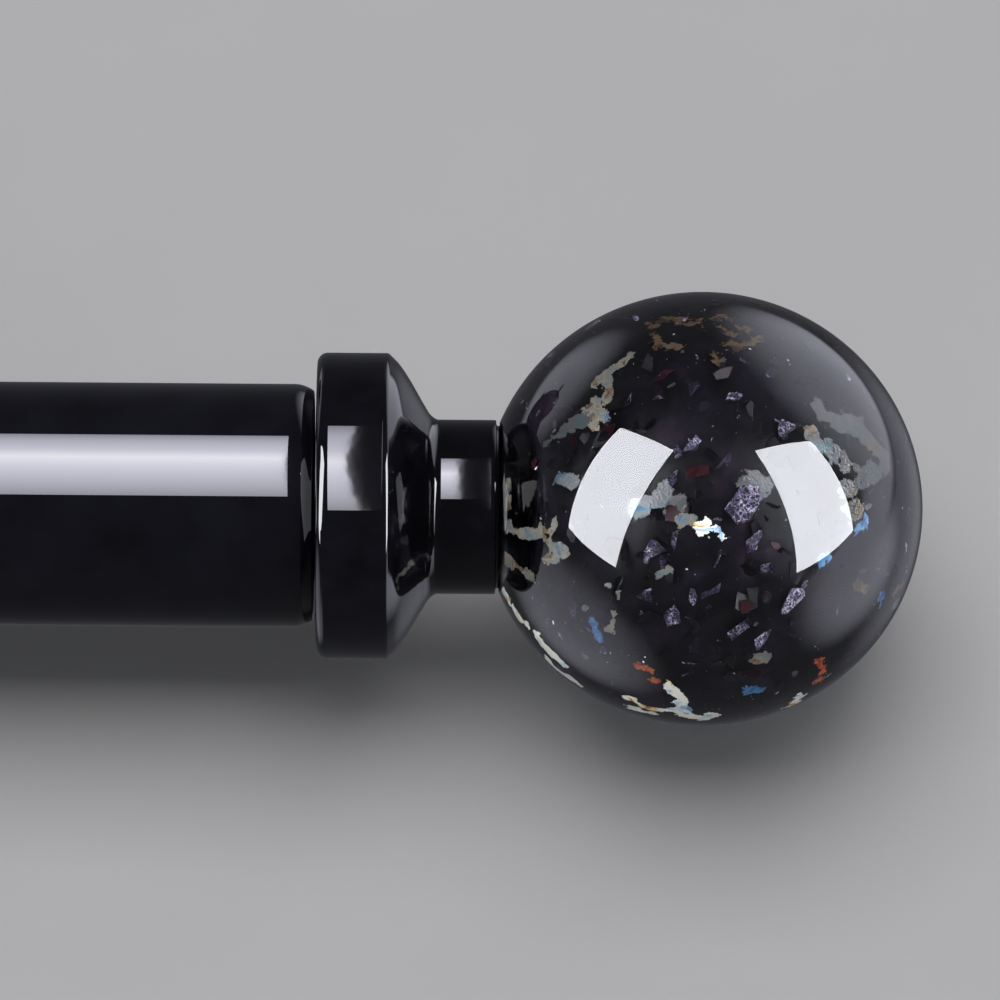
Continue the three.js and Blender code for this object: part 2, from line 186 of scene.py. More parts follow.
def foilLeaf(name, patch, stops, metallic=0.35, roughness=0.42):
    # torn dichroic foil: a crinkled film whose colour turns with its thickness along the tears
    material, tree, shader, place = newMaterial(name)
    film = addNode(
        tree,
        "ShaderNodeTexNoise",
        inputs={"Vector": place, "Scale": perSize(patch), "Detail": 4.0, "Roughness": 0.6, "Distortion": 0.8},
    )
    tone = addNode(tree, "ShaderNodeValToRGB", inputs={"Fac": film}, stops=stops)
    crease = addNode(
        tree,
        "ShaderNodeBump",
        inputs={"Height": crackedCells(tree, place, 0.45), "Distance": 0.05 * mm, "Strength": 0.8},
    )
    joinInputs(tree, shader, {"Base Color": tone, "Normal": crease})
    joinInputs(tree, shader, {"Metallic": metallic, "Roughness": roughness})
    return material


def crackledFilm(name, lineStops, shadeStops):
    # film that has crackled in the melt: a dark ground crossed by broken bright lines
    material, tree, shader, place = newMaterial(name)
    grain = addNode(
        tree,
        "ShaderNodeTexNoise",
        inputs={"Vector": place, "Scale": perSize(0.9), "Detail": 4.0, "Roughness": 0.6},
    )
    centred = addNode(tree, "ShaderNodeMath", {"operation": "MULTIPLY_ADD"}, {0: grain, 1: 0.5, 2: -0.25})
    fade = addNode(tree, "ShaderNodeMath", {"operation": "ABSOLUTE"}, {0: centred})
    cells = crackedCells(tree, place, 0.42)
    broken = addNode(tree, "ShaderNodeMath", {"operation": "ADD"}, {0: cells, 1: fade})
    lines = addNode(tree, "ShaderNodeValToRGB", inputs={"Fac": broken}, stops=lineStops)
    patches = addNode(
        tree,
        "ShaderNodeTexNoise",
        inputs={"Vector": place, "Scale": perSize(3.2), "Detail": 2.0, "Roughness": 0.6},
    )
    shade = addNode(tree, "ShaderNodeValToRGB", inputs={"Fac": patches}, stops=shadeStops)
    blend = {"data_type": "RGBA", "blend_type": "MULTIPLY"}
    tone = addNode(tree, "ShaderNodeMix", blend, {0: 1.0, 6: lines, 7: shade})
    sheen = {"Roughness": 0.4, "Metallic": 0.15, "Specular IOR Level": 0.2}
    joinInputs(tree, shader, {"Base Color": tone, **sheen})
    return material


def metalFinish(name, dark, light, grainSize, roughness, metallic=1.0):
    # plated, blacked or turned metal: a faint drift of tone over a fine grain
    material, tree, shader, place = newMaterial(name)
    grain = addNode(
        tree,
        "ShaderNodeTexNoise",
        inputs={"Vector": place, "Scale": perSize(grainSize), "Detail": 5.0, "Roughness": 0.6},
    )
    tone = addNode(tree, "ShaderNodeValToRGB", inputs={"Fac": grain}, stops=[(0.3, dark), (0.7, light)])
    ends = {"To Min": roughness * 0.8, "To Max": roughness * 1.25}
    gloss = addNode(tree, "ShaderNodeMapRange", inputs={"Value": grain, **ends})
    marks = addNode(tree, "ShaderNodeBump", inputs={"Height": grain, "Distance": 0.004 * mm})
    joinInputs(tree, shader, {"Base Color": tone, "Roughness": gloss, "Normal": marks, "Metallic": metallic})
    return material


def mouldedFinish(name, dark, light, grainSize, roughness, depth):
    # moulded nylon or rubber: a soft sheen broken by the texture of its mould
    material, tree, shader, place = newMaterial(name)
    skin = addNode(
        tree,
        "ShaderNodeTexNoise",
        inputs={"Vector": place, "Scale": perSize(grainSize), "Detail": 5.0, "Roughness": 0.6},
    )
    flow = addNode(
        tree,
        "ShaderNodeTexNoise",
        inputs={"Vector": place, "Scale": perSize(6.0), "Detail": 3.0, "Roughness": 0.6},
    )
    tone = addNode(tree, "ShaderNodeValToRGB", inputs={"Fac": flow}, stops=[(0.3, dark), (0.7, light)])
    ends = {"To Min": roughness * 0.85, "To Max": roughness * 1.1}
    gloss = addNode(tree, "ShaderNodeMapRange", inputs={"Value": skin, **ends})
    marks = addNode(tree, "ShaderNodeBump", inputs={"Height": skin, "Distance": depth * mm})
    joinInputs(tree, shader, {"Base Color": tone, "Roughness": gloss, "Normal": marks, "IOR": 1.5})
    return material


finishes = {
    "tubeLacquer": (blackLacquer("tubeLacquer", 6.0, 0.0015), "black_lacquer"),
    "castLacquer": (blackLacquer("castLacquer", 3.0, 0.0009), "black_lacquer"),
    "clearGlass": (clearGlass(), "clear_glass"),
    "bondedFace": (bondedFace(), "clear_glass"),
    "darkGlass": (darkGlass(), "dark_glass"),
    "creamLeaf": (
        foilLeaf(
            "creamLeaf",
            2.4,
            [
                (0.3, "#6a95bb"), (0.38, "#ccdcdc"), (0.45, "#f0eddf"), (0.57, "#f3efdf"),
                (0.63, "#e1bf72"), (0.7, "#a05d28"), (0.77, "#572614"),
            ],
        ),
        "clear_glass",
    ),
    "opalLeaf": (
        foilLeaf(
            "opalLeaf",
            1.3,
            [
                (0.32, "#294966"), (0.4, "#566365"), (0.46, "#605d52"),
                (0.54, "#726c62"), (0.6, "#5c482e"), (0.68, "#332621"),
            ],
        ),
        "clear_glass",
    ),
    "silverLeaf": (
        foilLeaf(
            "silverLeaf",
            3.0,
            [
                (0.3, "#1b3848"), (0.37, "#394849"), (0.44, "#444647"),
                (0.58, "#494948"), (0.66, "#53442d"), (0.72, "#24353c"),
            ],
            0.6,
            0.3,
        ),
        "clear_glass",
    ),
    "amberLeaf": (
        foilLeaf(
            "amberLeaf",
            1.3,
            [
                (0.32, "#354044"), (0.4, "#4d402f"), (0.47, "#59401d"),
                (0.54, "#342314"), (0.62, "#0e0a07"), (0.7, "#49260e"),
            ],
        ),
        "clear_glass",
    ),
    "blueLeaf": (
        foilLeaf(
            "blueLeaf",
            1.2,
            [(0.3, "#0a1355"), (0.42, "#12397a"), (0.52, "#3d7489"), (0.62, "#1c3379"), (0.72, "#8b9a9a")],
        ),
        "clear_glass",
    ),
    "emberLeaf": (
        foilLeaf(
            "emberLeaf",
            1.2,
            [(0.34, "#390c05"), (0.46, "#85270a"), (0.56, "#a5581e"), (0.68, "#480f0a")],
        ),
        "clear_glass",
    ),
    "plumFilm": (
        crackledFilm(
            "plumFilm",
            [(0.0, "#dad5e2"), (0.06, "#857d94"), (0.14, "#2a2531"), (0.4, "#131118")],
            [(0.36, "#3a3046"), (0.46, "#7c7090"), (0.56, "#ffffff"), (0.66, "#6c7090")],
        ),
        "dark_glass",
    ),
    "duskFilm": (
        crackledFilm(
            "duskFilm",
            [(0.0, "#30293b"), (0.08, "#19131f"), (0.4, "#08060c")],
            [(0.34, "#221c2c"), (0.46, "#503b54"), (0.56, "#9f93a5"), (0.68, "#3b425e")],
        ),
        "dark_glass",
    ),
    "magentaFilm": (
        crackledFilm(
            "magentaFilm",
            [(0.0, "#6c2444"), (0.1, "#40142a"), (0.4, "#240c18")],
            [(0.34, "#3c1826"), (0.5, "#a8405c"), (0.66, "#4c2444")],
        ),
        "dark_glass",
    ),
    "glintFilm": (
        foilLeaf("glintFilm", 1.0, [(0.3, "#8fa8c8"), (0.5, "#f4f2f8"), (0.7, "#d8b8a8")]),
        "clear_glass",
    ),
    "blackOxide": (metalFinish("blackOxide", "#141416", "#232327", 0.6, 0.38, 0.9), "black_steel"),
    "zincPlate": (metalFinish("zincPlate", "#a4a6a9", "#c6c8ca", 0.5, 0.3), "zinc_steel"),
    "turnedBrass": (metalFinish("turnedBrass", "#a67a34", "#c89a50", 0.4, 0.28), "brass"),
    "mattRubber": (mouldedFinish("mattRubber", "#131313", "#1d1d1d", 0.5, 0.75, 0.01), "rubber"),
    "mouldedNylon": (mouldedFinish("mouldedNylon", "#18181a", "#242427", 0.8, 0.5, 0.006), "nylon"),
}
print("materials made:", len(finishes))


def finishMesh(name, mesh):
    # turns a worked mesh into a piece of the scene
    data = bpy.data.meshes.new(name)
    mesh.to_mesh(data)
    mesh.free()
    piece = bpy.data.objects.new(name, data)
    scene.collection.objects.link(piece)
    return piece


def softenFaces(piece, angle=32):
    # smooth faces with crisp edges where they meet at more than the angle, in degrees
    for polygon in piece.data.polygons:
        polygon.use_smooth = True
    piece.data.set_sharp_from_angle(angle=math.radians(angle))


def settle(piece, body, finish, *nodes):
    # gives a piece its finish, its body and the nodes it stands for
    material, slot = finishes[finish]
    if not piece.data.materials:
        piece.data.materials.append(material)
    softenFaces(piece)
    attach(piece, body)
    if nodes:
        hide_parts(*nodes)
    return piece


def bakeModifiers(piece):
    # turns a piece's evaluated shape into its plain mesh
    graph = bpy.context.evaluated_depsgraph_get()
    data = bpy.data.meshes.new_from_object(piece.evaluated_get(graph), depsgraph=graph)
    piece.modifiers.clear()
    piece.data = data
    return piece


def carve(piece, cutters, operation="DIFFERENCE"):
    # cuts shapes out of a piece, or joins them to it, and throws the cutters away
    for cutter in cutters:
        step = piece.modifiers.new("carve", "BOOLEAN")
        step.operation = operation
        step.solver = "EXACT"
        step.object = cutter
    bakeModifiers(piece)
    for cutter in cutters:
        bpy.data.objects.remove(cutter)
    return piece


# Turned pieces are made again from the frame, with fine sides and rounded outlines.
turning = {
    "sides": 160,
    "smallSides": 64,
    "cornerAngle": 24,
    "cornerRound": 0.18,
    "cornerKeep": 0.0648,  # a curve's rings stay this far from its corners
    "steps": 6,  # rings along a curved side
    "longShare": 3,  # a side this many times longer than the next is taken as straight
    "hold": 0.5,  # how near its ends a straight side gets rings that keep its shading flat
}


def outlineOf(node, axis, side):
    # a turned node's outline in the half plane from its axis towards side, as (along, radius)
    across = axis.cross(side)
    centre = middle(node)
    mesh = bmesh.new()
    mesh.from_mesh(frame["nodes"][node].data)
    bmesh.ops.remove_doubles(mesh, verts=mesh.verts, dist=1e-6)
    near = 2e-5
    spots = {
        v: (v.co.dot(axis), max(0.0, (v.co - centre).dot(side)))
        for v in mesh.verts
        if abs((v.co - centre).dot(across)) < near and (v.co - centre).dot(side) > -near
    }
    ends = [v for v in spots if spots[v][1] < near]
    here = ends[0] if ends else max(spots, key=lambda v: spots[v][1])
    order = [here]
    while not (here in ends and len(order) > 1):
        ahead = [e.other_vert(here) for e in here.link_edges]
        ahead = [v for v in ahead if v in spots and v not in order]
        if not ahead:
            break
        here = ahead[0]
        order.append(here)
    points = [spots[v] for v in order]
    mesh.free()
    return points, not ends


def roundedOutline(points, closed):
    # sharp corners get a small fillet, and shallow bends become one smooth curve
    flat = [Vector(p) for p in points]
    count = len(flat)

    def sideOf(i, way):
        # the outline's step into a corner (-1) or out of it (1)
        return flat[i] - flat[i - 1] if way < 0 else flat[(i + 1) % count] - flat[i]

    def isSharp(i):
        if not closed and i in (0, count - 1):
            return True
        return sideOf(i, -1).angle(sideOf(i, 1)) > math.radians(turning["cornerAngle"])

    def heading(i, way):
        # the curve's direction at a corner; a long straight side keeps its own
        before, after = sideOf(i, -1), sideOf(i, 1)
        own = before if way < 0 else after
        if sharp[i]:
            return own.normalized()
        if before.length > turning["longShare"] * after.length:
            return before.normalized()
        if after.length > turning["longShare"] * before.length:
            return after.normalized()
        return (before.normalized() * after.length + after.normalized() * before.length).normalized()

    sharp = [isSharp(i) for i in range(count)]
    fine = []
    for i in range(count):
        here = flat[i]
        if sharp[i] and (closed or 0 < i < count - 1):
            back, ahead = sideOf(i, -1), sideOf(i, 1)
            size = min(turning["cornerRound"] * mm, 0.35 * back.length, 0.35 * ahead.length)
            start = here - back.normalized() * size
            end = here + ahead.normalized() * size
            fine += [start, (start + end + 2 * here) / 4, end]
        else:
            fine.append(here)
        if not closed and i == count - 1:
            break
        following = flat[(i + 1) % count]
        length = (following - here).length
        leaving, arriving = heading(i, 1), heading((i + 1) % count, -1)
        straight = (following - here).normalized()
        if leaving.angle(straight, 0) < 1e-3 and arriving.angle(straight, 0) < 1e-3:
            hold = turning["hold"] * mm
            if length > 3 * hold:
                fine += [here + straight * hold, following - straight * hold]
            continue
        for step in range(1, turning["steps"]):
            t = step / turning["steps"]
            spot = (
                here * (2 * t**3 - 3 * t**2 + 1)
                + leaving * length * (t**3 - 2 * t**2 + t)
                + following * (3 * t**2 - 2 * t**3)
                + arriving * length * (t**3 - t**2)
            )
            margin = turning["cornerKeep"] * mm
            if (spot - here).length > margin and (spot - following).length > margin:
                fine.append(spot)
    return [(p.x, max(0.0, p.y)) for p in fine]


def spin(name, outline, closed, axis, side, centre, sides):
    # the outline turned about its axis through centre, as one closed mesh
    across = axis.cross(side)
    mesh = bmesh.new()
    base = centre - axis * centre.dot(axis)
    rings = []
    for place, radius in outline:
        spot = base + axis * place
        if radius < 1e-6:
            rings.append([mesh.verts.new(spot)])
            continue
        turns = [2 * math.pi * i / sides for i in range(sides)]
        spokes = [math.cos(turn) * side + math.sin(turn) * across for turn in turns]
        rings.append([mesh.verts.new(spot + radius * spoke) for spoke in spokes])
    pairs = list(zip(rings, rings[1:] + rings[:1])) if closed else list(zip(rings, rings[1:]))
    for first, second in pairs:
        if len(first) == 1 and len(second) == 1:
            continue
        for i in range(sides):
            j = (i + 1) % sides
            if len(first) == 1:
                mesh.faces.new([first[0], second[i], second[j]])
            elif len(second) == 1:
                mesh.faces.new([first[i], second[0], first[j]])
            else:
                mesh.faces.new([first[i], second[i], second[j], first[j]])
    bmesh.ops.recalc_face_normals(mesh, faces=mesh.faces)
    return finishMesh(name, mesh)


def turnedShape(node, axis, side, sides):
    # a node of the frame made again, round and fine
    points, closed = outlineOf(node, axis, side)
    return spin(f"{node}_fine", roundedOutline(points, closed), closed, axis, side, middle(node), sides)


def turnedPiece(node, axis, side, finish, small=False):
    piece = turnedShape(node, axis, side, turning["smallSides"] if small else turning["sides"])
    return settle(piece, bodyOf[node], finish, node)


tubes = [turnedPiece(node, alongRod, up, "tubeLacquer") for node in ("outer_tube", "inner_tube")]
for node in ("mouth_ring", "inner_guide"):
    turnedPiece(node, alongRod, up, "mouldedNylon")
collars = []
for hand in hands:
    collars.append(turnedPiece(f"collar_{hand}", alongRod, up, "castLacquer"))
    turnedPiece(f"end_plug_{hand}", alongRod, up, "mouldedNylon")
    turnedPiece(f"gasket_{hand}", alongRod, up, "mattRubber")
    turnedPiece(f"plug_bush_{hand}", alongRod, up, "turnedBrass", small=True)
    turnedPiece(f"ball_insert_{hand}", alongRod, up, "turnedBrass", small=True)
    turnedPiece(f"ball_core_{hand}", alongRod, up, "darkGlass")
    turnedPiece(f"arm_{hand}", outFromWall, up, "castLacquer", small=True)
print("turned pieces made")

# The casing is an exact ellipsoid shell, open where the neck goes in.
casing = {"sides": 192, "outerSteps": 110, "innerSteps": 48}


def ballCasing(hand):
    name = f"ball_casing_{hand}"
    outward = 1 if hand == "right" else -1
    low, high = nodeBoxes[name]
    points, _ = outlineOf(name, alongRod, up)
    tip = high.x if outward > 0 else low.x
    innerTip = max((p for p in points if p[1] < 1e-5), key=lambda p: -outward * p[0])[0]
    radius = (high.z - low.z) / 2
    widest = max(points, key=lambda p: p[1])[0]
    reach = abs(tip - widest)
    wall = abs(tip - innerTip)
    socket = min(p[1] for p in points if p[1] > 1e-5 and outward * (p[0] - widest) < -0.6 * reach)

    def ellipse(reachAlong, reachOut, steps):
        # from the tip of the ball back to the edge of its socket
        end = math.pi - math.asin(socket / reachOut)
        angles = [end * i / steps for i in range(steps + 1)]
        return [(widest + outward * reachAlong * math.cos(a), reachOut * math.sin(a)) for a in angles]

    outer = ellipse(reach, radius, casing["outerSteps"])
    inner = ellipse(reach - wall, radius - wall, casing["innerSteps"])
    centre = Vector((widest, middle("outer_tube").y, middle("outer_tube").z))
    piece = spin(f"{name}_fine", outer + inner[::-1], False, alongRod, up, centre, casing["sides"])
    for finish in ("clearGlass", "bondedFace"):
        piece.data.materials.append(finishes[finish][0])
    skin = radius * 0.97  # faces nearer the centre than this are inside the shell
    for polygon in piece.data.polygons:
        arm = polygon.center - centre
        if polygon.normal.dot(arm) < 0 or arm.length < skin:
            polygon.material_index = 1
    settle(piece, bodyOf[name], "clearGlass", name)
    return {"centre": centre, "radius": radius, "wall": wall, "outward": outward}


balls = {hand: ballCasing(hand) for hand in hands}
print("casings made")

# The camera looks down at the right end of the rod.
view = {"elevation": 55, "roll": 0.45, "lens": 500, "distance": 1450, "aimRight": -21.1, "aimUp": 0.75}
ballCentre = balls["right"]["centre"]


def pointAt(thing, target, rollDegrees):
    away = thing.location - target
    turn = away.to_track_quat("Z", "Y").to_matrix().to_4x4()
    roll = Matrix.Rotation(math.radians(rollDegrees), 4, "Z")
    thing.matrix_world = Matrix.Translation(thing.location) @ turn @ roll


slant = math.radians(view["elevation"])
faceOut = Vector((0, -math.cos(slant), math.sin(slant)))
faceUp = Vector((0, math.sin(slant), math.cos(slant)))
aim = ballCentre + Vector((view["aimRight"] * mm, 0, 0)) + faceUp * view["aimUp"] * mm
camera = bpy.data.objects.new("camera", bpy.data.cameras.new("camera"))
camera.data.lens = view["lens"]
camera.data.clip_end = 100
camera.location = aim + faceOut * view["distance"] * mm
scene.collection.objects.link(camera)
bpy.context.view_layer.update()
pointAt(camera, aim, view["roll"])
scene.camera = camera

# Foil leaf lies just under the ball's skin. Each tear is a short line over the ball, given as
# (around, out): degrees anticlockwise from the rod's direction, and degrees out from the ball's face.
# Before the tears come each leaf's half width, raggedness and grain in millimetres.
leafing = {"depth": 1.3, "thickness": 0.03, "crumple": 0.12, "chipTilt": 0.45}
leafTears = {
    "creamLeaf": (0.68, 1.0, 1.3, [
        [(-100, 58), (-96, 66), (-95, 71)],
        [(-111, 71), (-105, 74), (-98, 72), (-94, 74), (-89, 77), (-86, 73)],
        [(-109, 79), (-104, 78)], [(-141, 75), (-136, 76), (-132, 75)], [(-135, 84), (-130, 85), (-126, 82)],
        [(-156, 81), (-151, 80), (-147, 77)], [(-62, 77), (-65, 84)], [(-98, 5), (-90, 5)],
        [(-72, 6), (-61, 7)],
    ]),
    "opalLeaf": (0.5, 1.0, 1.5, [
        [(-173, 45), (-168, 48), (-162, 44)], [(-162, 52), (-161, 48)], [(-166, 70), (-162, 65), (-158, 60)],
        [(140, 46), (139, 43), (138, 40)], [(136, 46), (143, 40)], [(-139, 35), (-135, 35)],
        [(-130, 41), (-127, 46)], [(-125, 22), (-120, 20)], [(-154, 7), (-148, 5)], [(-70, 49), (-67, 49)],
        [(-174, 67), (-171, 56), (-173, 51)], [(131, 51), (126, 52), (120, 52), (116, 53)],
        [(132, 43), (128, 49)], [(172, 66), (179, 65)],
    ]),
    "silverLeaf": (0.75, 1.5, 1.9, [
        [(43, 46), (38, 45), (32, 49), (29, 56)], [(38, 38), (31, 38), (24, 42), (17, 47)],
        [(29, 54), (22, 58), (17, 61)], [(9, 41), (12, 51), (13, 60)], [(-1, 43), (2, 51)],
        [(40, 14), (29, 17), (23, 18)], [(158, 53), (151, 49), (144, 45)], [(180, 18), (172, 13), (165, 8)],
        [(159, 12), (180, 15)], [(169, 44), (167, 40)], [(20, 40), (15, 47)],
    ]),
    "amberLeaf": (0.4, 1.3, 0.9, [
        [(107, 63), (102, 65), (98, 63)], [(107, 59), (104, 52), (99, 50)], [(95, 60), (92, 61)],
        [(88, 62), (84, 65), (82, 63)], [(87, 60), (82, 57), (77, 60)], [(83, 51), (77, 52), (73, 56)],
        [(87, 47), (85, 44)], [(-25, 53), (-27, 58)], [(-23, 73), (-21, 78)],
    ]),
    "blueLeaf": (0.5, 0.8, 0.8, [
        [(-134, 48), (-128, 52)], [(-76, 61), (-72, 63)], [(-26, 67), (-27, 69)], [(-7, 47), (-4, 49)],
        [(-25, 37), (-22, 38)],
    ]),
    "emberLeaf": (0.42, 0.7, 0.7, [
        [(-112, 53), (-108, 53)], [(-107, 57), (-105, 57)], [(-52, 63), (-53, 70)], [(-56, 73), (-55, 75)],
    ]),
}
# Crackled pieces float deeper: (around, out, size in millimetres).
filmPieces = {
    "plumFilm": [
        (7, 13, 5.2), (-46, 42, 3.2), (-74, 42, 2.2), (-86, 26, 2.2), (-123, 34, 1.8), (97, 40, 2.2),
        (76, 38, 2.2), (133, 13, 1.8), (102, 21, 1.8), (45, 38, 2.6), (68, 16, 2.4), (-141, 21, 3.0),
        (-128, 21, 2.0),
        (-134, 13, 2.0), (-72, 16, 1.6), (-30, 19, 2.4), (-66, 49, 2.8), (-107, 36, 2.2), (-142, 59, 2.4),
        (-55, 84, 1.4), (64, 52, 1.4), (-97, 29, 1.4), (126, 44, 1.6),
    ],
    "magentaFilm": [
        (142, 41, 2.4), (156, 50, 2.4), (108, 48, 1.6), (82, 46, 2.0), (98, 12, 2.2), (-175, 9, 2.6),
        (166, 64, 1.6), (-73, 61, 2.2), (-84, 49, 1.0), (-65, 33, 1.2),
    ],
}
# The chips strewn between them: seed, chips to the square metre, smallest and largest size and depth
# over the ball's heart, in millimetres.
strewnChips = {
    "duskFilm": (21, 160000.0, 0.5, 2.8, 0.02),
    "magentaFilm": (9, 9000.0, 0.1, 1.6, 0.22),
    "plumFilm": (5, 90000.0, 0.08, 1.3, 0.4),
    "glintFilm": (33, 60000.0, 0.06, 0.26, 0.5),
}


def newGeometryTree(name, entries):
    # a geometry tree with its geometry sockets and its named inputs, each given as (kind, value)
    tree = bpy.data.node_groups.new(name, "GeometryNodeTree")
    for way in ("INPUT", "OUTPUT"):
        tree.interface.new_socket("Geometry", in_out=way, socket_type="NodeSocketGeometry")
    for entry, (kind, value) in entries.items():
        socket = tree.interface.new_socket(entry, in_out="INPUT", socket_type=f"NodeSocket{kind}")
        if value is not None:
            socket.default_value = value
    return tree, tree.nodes.new("NodeGroupInput").outputs


def endTree(tree, geometry, material):
    # every tree ends by making its copies real and giving them their finish
    real = addNode(tree, "GeometryNodeRealizeInstances", inputs={"Geometry": geometry})
    dressed = addNode(tree, "GeometryNodeSetMaterial", inputs={"Geometry": real, "Material": material})
    addNode(tree, "NodeGroupOutput", inputs={"Geometry": dressed})


def growTree(piece, tree, values):
    # runs a tree on a piece, with its inputs set by their identifiers, and keeps the plain mesh
    modifier = piece.modifiers.new(tree.name, "NODES")
    modifier.node_group = tree
    for entry in tree.interface.items_tree:
        if entry.in_out == "INPUT" and entry.name in values:
            modifier[entry.identifier] = values[entry.name]
    return bakeModifiers(piece)


def leafTree():
    # ragged islands of a thin shell, kept where they lie near the tear lines
    tree, entry = newGeometryTree(
        "tornLeaf",
        {
            "Radius": ("Float", 0.02),
            "Width": ("Float", 0.0005),
            "Rag": ("Float", 0.001),
            "Grain": ("Float", 1000.0),
            "Crumple": ("Float", 0.0001),
            "Thickness": ("Float", 0.00003),
            "Seed": ("Float", 1.0),
            "Centre": ("Vector", (0, 0, 0)),
            "Material": ("Material", None),
        },
    )
    tears = {"target_element": "EDGES"}
    away = addNode(tree, "GeometryNodeProximity", tears, {0: entry["Geometry"]}).outputs["Distance"]
    ball = addNode(tree, "GeometryNodeMeshIcoSphere", inputs={"Radius": entry["Radius"], "Subdivisions": 6})
    reach = addNode(tree, "ShaderNodeMath", {"operation": "ADD"}, {0: entry["Width"], 1: entry["Rag"]})
    beyond = addNode(tree, "ShaderNodeMath", {"operation": "GREATER_THAN"}, {0: away, 1: reach})
    faces = {"domain": "FACE"}
    rough = addNode(tree, "GeometryNodeDeleteGeometry", faces, {"Geometry": ball, "Selection": beyond})
    dense = addNode(tree, "GeometryNodeSubdivideMesh", inputs={"Mesh": rough, "Level": 2})

    position = addNode(tree, "GeometryNodeInputPosition")
    grain = addNode(
        tree,
        "ShaderNodeTexNoise",
        {"noise_dimensions": "4D"},
        {"Vector": position, "W": entry["Seed"], "Scale": entry["Grain"], "Detail": 3.0, "Roughness": 0.55},
    )
    wander = addNode(tree, "ShaderNodeMath", {"operation": "SUBTRACT"}, {0: grain, 1: 0.5})
    crumpled = {0: wander, 1: entry["Crumple"], 2: entry["Radius"]}
    level = addNode(tree, "ShaderNodeMath", {"operation": "MULTIPLY_ADD"}, crumpled)
    heading = addNode(tree, "ShaderNodeVectorMath", {"operation": "NORMALIZE"}, {0: position})
    skin = addNode(tree, "ShaderNodeVectorMath", {"operation": "SCALE"}, {0: heading, "Scale": level})
    rounded = addNode(tree, "GeometryNodeSetPosition", inputs={"Geometry": dense, "Position": skin})

    ragged = addNode(tree, "ShaderNodeMath", {"operation": "MULTIPLY"}, {0: entry["Rag"], 1: 3.2})
    edge = addNode(tree, "ShaderNodeMath", {"operation": "MULTIPLY_ADD"}, {0: wander, 1: ragged, 2: away})
    outside = addNode(tree, "ShaderNodeMath", {"operation": "GREATER_THAN"}, {0: edge, 1: entry["Width"]})
    torn = addNode(tree, "GeometryNodeDeleteGeometry", faces, {"Geometry": rounded, "Selection": outside})

    thick = {"Mesh": torn, "Offset Scale": entry["Thickness"], "Individual": False}
    lifted = addNode(tree, "GeometryNodeExtrudeMesh", {"mode": "FACES"}, thick)
    under = addNode(tree, "GeometryNodeFlipFaces", inputs={"Mesh": torn})
    both = addNode(tree, "GeometryNodeJoinGeometry", inputs={0: [lifted, under]})
    closed = addNode(tree, "GeometryNodeMergeByDistance", inputs={"Geometry": both, "Distance": 0.000001})
    placed = addNode(tree, "GeometryNodeTransform", inputs={"Geometry": closed, "Translation": entry["Centre"]})
    endTree(tree, placed, entry["Material"])
    return tree


